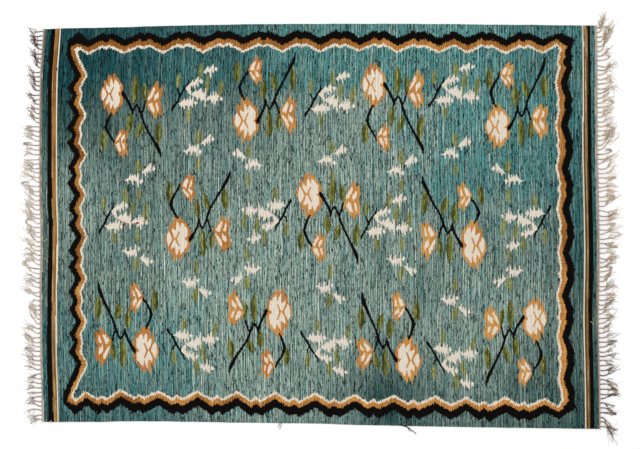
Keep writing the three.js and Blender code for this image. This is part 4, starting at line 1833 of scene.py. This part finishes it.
def add_piece(name, mesh, materials, material_slot, *nodes):
    """Puts a finished mesh in the scene as a piece that rides on the rug."""
    piece = bpy.data.objects.new(name, mesh)
    bpy.context.scene.collection.objects.link(piece)
    for material in materials:
        mesh.materials.append(material)
    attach(piece, "root")
    if nodes:
        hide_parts(*nodes)
    return piece


# Operators and panel


FLOOR_SIZE = 14000.0
FLOOR_DROP = 0.4
FLOOR_WHITE = 0.96
SKY_STRENGTH = 0.94
KEY_LIGHT = {"place": (-2200.0, 2400.0, 4200.0), "size": 2200.0, "watts": 62}


class KILIM_OT_stage(bpy.types.Operator):
    """Make the pale floor, the soft lights and the camera above the rug"""

    bl_idname = "kilim.stage"
    bl_label = "Set the Stage"

    def execute(self, context):
        bpy.ops.object.select_all(action="DESELECT")
        bpy.ops.mesh.primitive_plane_add(size=FLOOR_SIZE * MM, location=(0, 0, -FLOOR_DROP * MM))
        floor = context.active_object
        floor.name = "floor"
        paint = bpy.data.materials.new("floor_white")
        paint.use_nodes = True
        shader = paint.node_tree.nodes["Principled BSDF"]
        shader.inputs["Base Color"].default_value = (FLOOR_WHITE, FLOOR_WHITE, FLOOR_WHITE, 1)
        shader.inputs["Roughness"].default_value = 1.0
        shader.inputs["Specular IOR Level"].default_value = 0.0
        floor.data.materials.append(paint)

        world = bpy.data.worlds.new("studio")
        world.use_nodes = True
        background = world.node_tree.nodes["Background"]
        background.inputs["Color"].default_value = (1, 1, 1, 1)
        background.inputs["Strength"].default_value = SKY_STRENGTH
        context.scene.world = world
        context.scene.view_settings.view_transform = "Standard"

        key_place = [along * MM for along in KEY_LIGHT["place"]]
        bpy.ops.object.light_add(type="AREA", location=key_place)
        key = context.active_object
        key.name = "soft_key"
        key.data.size = KEY_LIGHT["size"] * MM
        key.data.energy = KEY_LIGHT["watts"]
        key.rotation_euler = (-Vector(key_place)).to_track_quat("-Z", "Y").to_euler()

        bpy.ops.object.camera_add(location=CAMERA_OVER * MM, rotation=(0, 0, 0))
        camera = context.active_object
        camera.name = "camera"
        camera.data.lens = CAMERA_LENS
        camera.data.sensor_width = CAMERA_SENSOR
        context.scene.camera = camera
        return {"FINISHED"}


class KILIM_OT_tie_fringes(bpy.types.Operator):
    """Twine the cord along both ends, bind the knots and lay out the warp ends"""

    bl_idname = "kilim.tie_fringes"
    bl_label = "Tie the Fringes"

    def execute(self, context):
        dyes, _, fringe = studio_settings(context)
        knots = free_yarn_material("knot_yarn", dyes.fringe_dirt_and_shade, dyes.cord)
        for end, pale in (("left", dyes.fringe), ("right", dyes.fringe_warm)):
            yarn = free_yarn_material(f"warp_yarn_{end}", dyes.fringe_dirt_and_shade, pale)
            tassels = []
            wraps = []
            for knot in range(TASSELS_PER_END):
                tassels += tassel_strands(end, knot, fringe)
                wraps.append(knot_wrap(end, knot))
            add_piece(
                f"warp_ends_{end}", yarn_mesh(f"warp_ends_{end}", tassels, STRAND_SIDES), [yarn],
                "warp_fringe", f"fringe_{end}")
            add_piece(
                f"knot_row_{end}", yarn_mesh(f"knot_row_{end}", twined_cord(end) + wraps, CORD_SIDES),
                [knots], "warp_fringe", f"fringe_{end}")
        return {"FINISHED"}


class KILIM_OT_leave_loose_ends(bpy.types.Operator):
    """Lay the loose ends of yarn that were never darned in"""

    bl_idname = "kilim.leave_loose_ends"
    bl_label = "Leave the Loose Ends"

    def execute(self, context):
        dyes, _, _ = studio_settings(context)
        wools = {
            "black": free_yarn_material("dark_yarn", dyes.black, dyes.black),
            "fringe": free_yarn_material("pale_yarn", dyes.fringe, dyes.fringe),
        }
        slots = {"black": "woven_wool", "fringe": "warp_fringe"}
        for row in LOOSE_ENDS:
            mesh = yarn_mesh(row["name"], [loose_strand(row)], CORD_SIDES)
            add_piece(row["name"], mesh, [wools[row["yarn"]]], slots[row["yarn"]])
        return {"FINISHED"}


class KILIM_OT_weave_cloth(bpy.types.Operator):
    """Weave the rug's cloth from its chart, after the fringes and loose ends"""

    bl_idname = "kilim.weave_cloth"
    bl_label = "Weave the Cloth"

    def execute(self, context):
        dyes, cloth, _ = studio_settings(context)
        kilim = add_piece(
            "kilim", woven_sheet(cloth), cloth_materials(dyes, cloth), "woven_wool", "cloth")
        names = [f"{part}_{end}" for end in ("left", "right") for part in ("warp_ends", "knot_row")]
        names += [row["name"] for row in LOOSE_ENDS]
        return {"FINISHED"}


OPERATORS = (
    KILIM_OT_stage, KILIM_OT_tie_fringes, KILIM_OT_leave_loose_ends, KILIM_OT_weave_cloth,
)


class KILIM_PT_panel(bpy.types.Panel):
    """Lists the steps and settings of the rug"""

    bl_idname = "KILIM_PT_panel"
    bl_label = "Kilim Rug"
    bl_space_type = "VIEW_3D"
    bl_region_type = "UI"
    bl_category = "Kilim"

    def draw(self, context):
        for operator in OPERATORS:
            self.layout.operator(operator.bl_idname)
        for settings in studio_settings(context):
            box = self.layout.box()
            for name in settings.__annotations__:
                box.prop(settings, name)


CLASSES = (KilimDyes, KilimCloth, KilimFringe, *OPERATORS, KILIM_PT_panel)


def register():
    for cls in CLASSES:
        bpy.utils.register_class(cls)
    bpy.types.Scene.kilim_dyes = bpy.props.PointerProperty(type=KilimDyes)
    bpy.types.Scene.kilim_cloth = bpy.props.PointerProperty(type=KilimCloth)
    bpy.types.Scene.kilim_fringe = bpy.props.PointerProperty(type=KilimFringe)


def unregister():
    del bpy.types.Scene.kilim_dyes
    del bpy.types.Scene.kilim_cloth
    del bpy.types.Scene.kilim_fringe
    for cls in reversed(CLASSES):
        bpy.utils.unregister_class(cls)


def main():
    register()
    bpy.ops.kilim.stage()
    bpy.ops.kilim.tie_fringes()
    bpy.ops.kilim.leave_loose_ends()
    bpy.ops.kilim.weave_cloth()


if __name__ == "__main__":
    main()
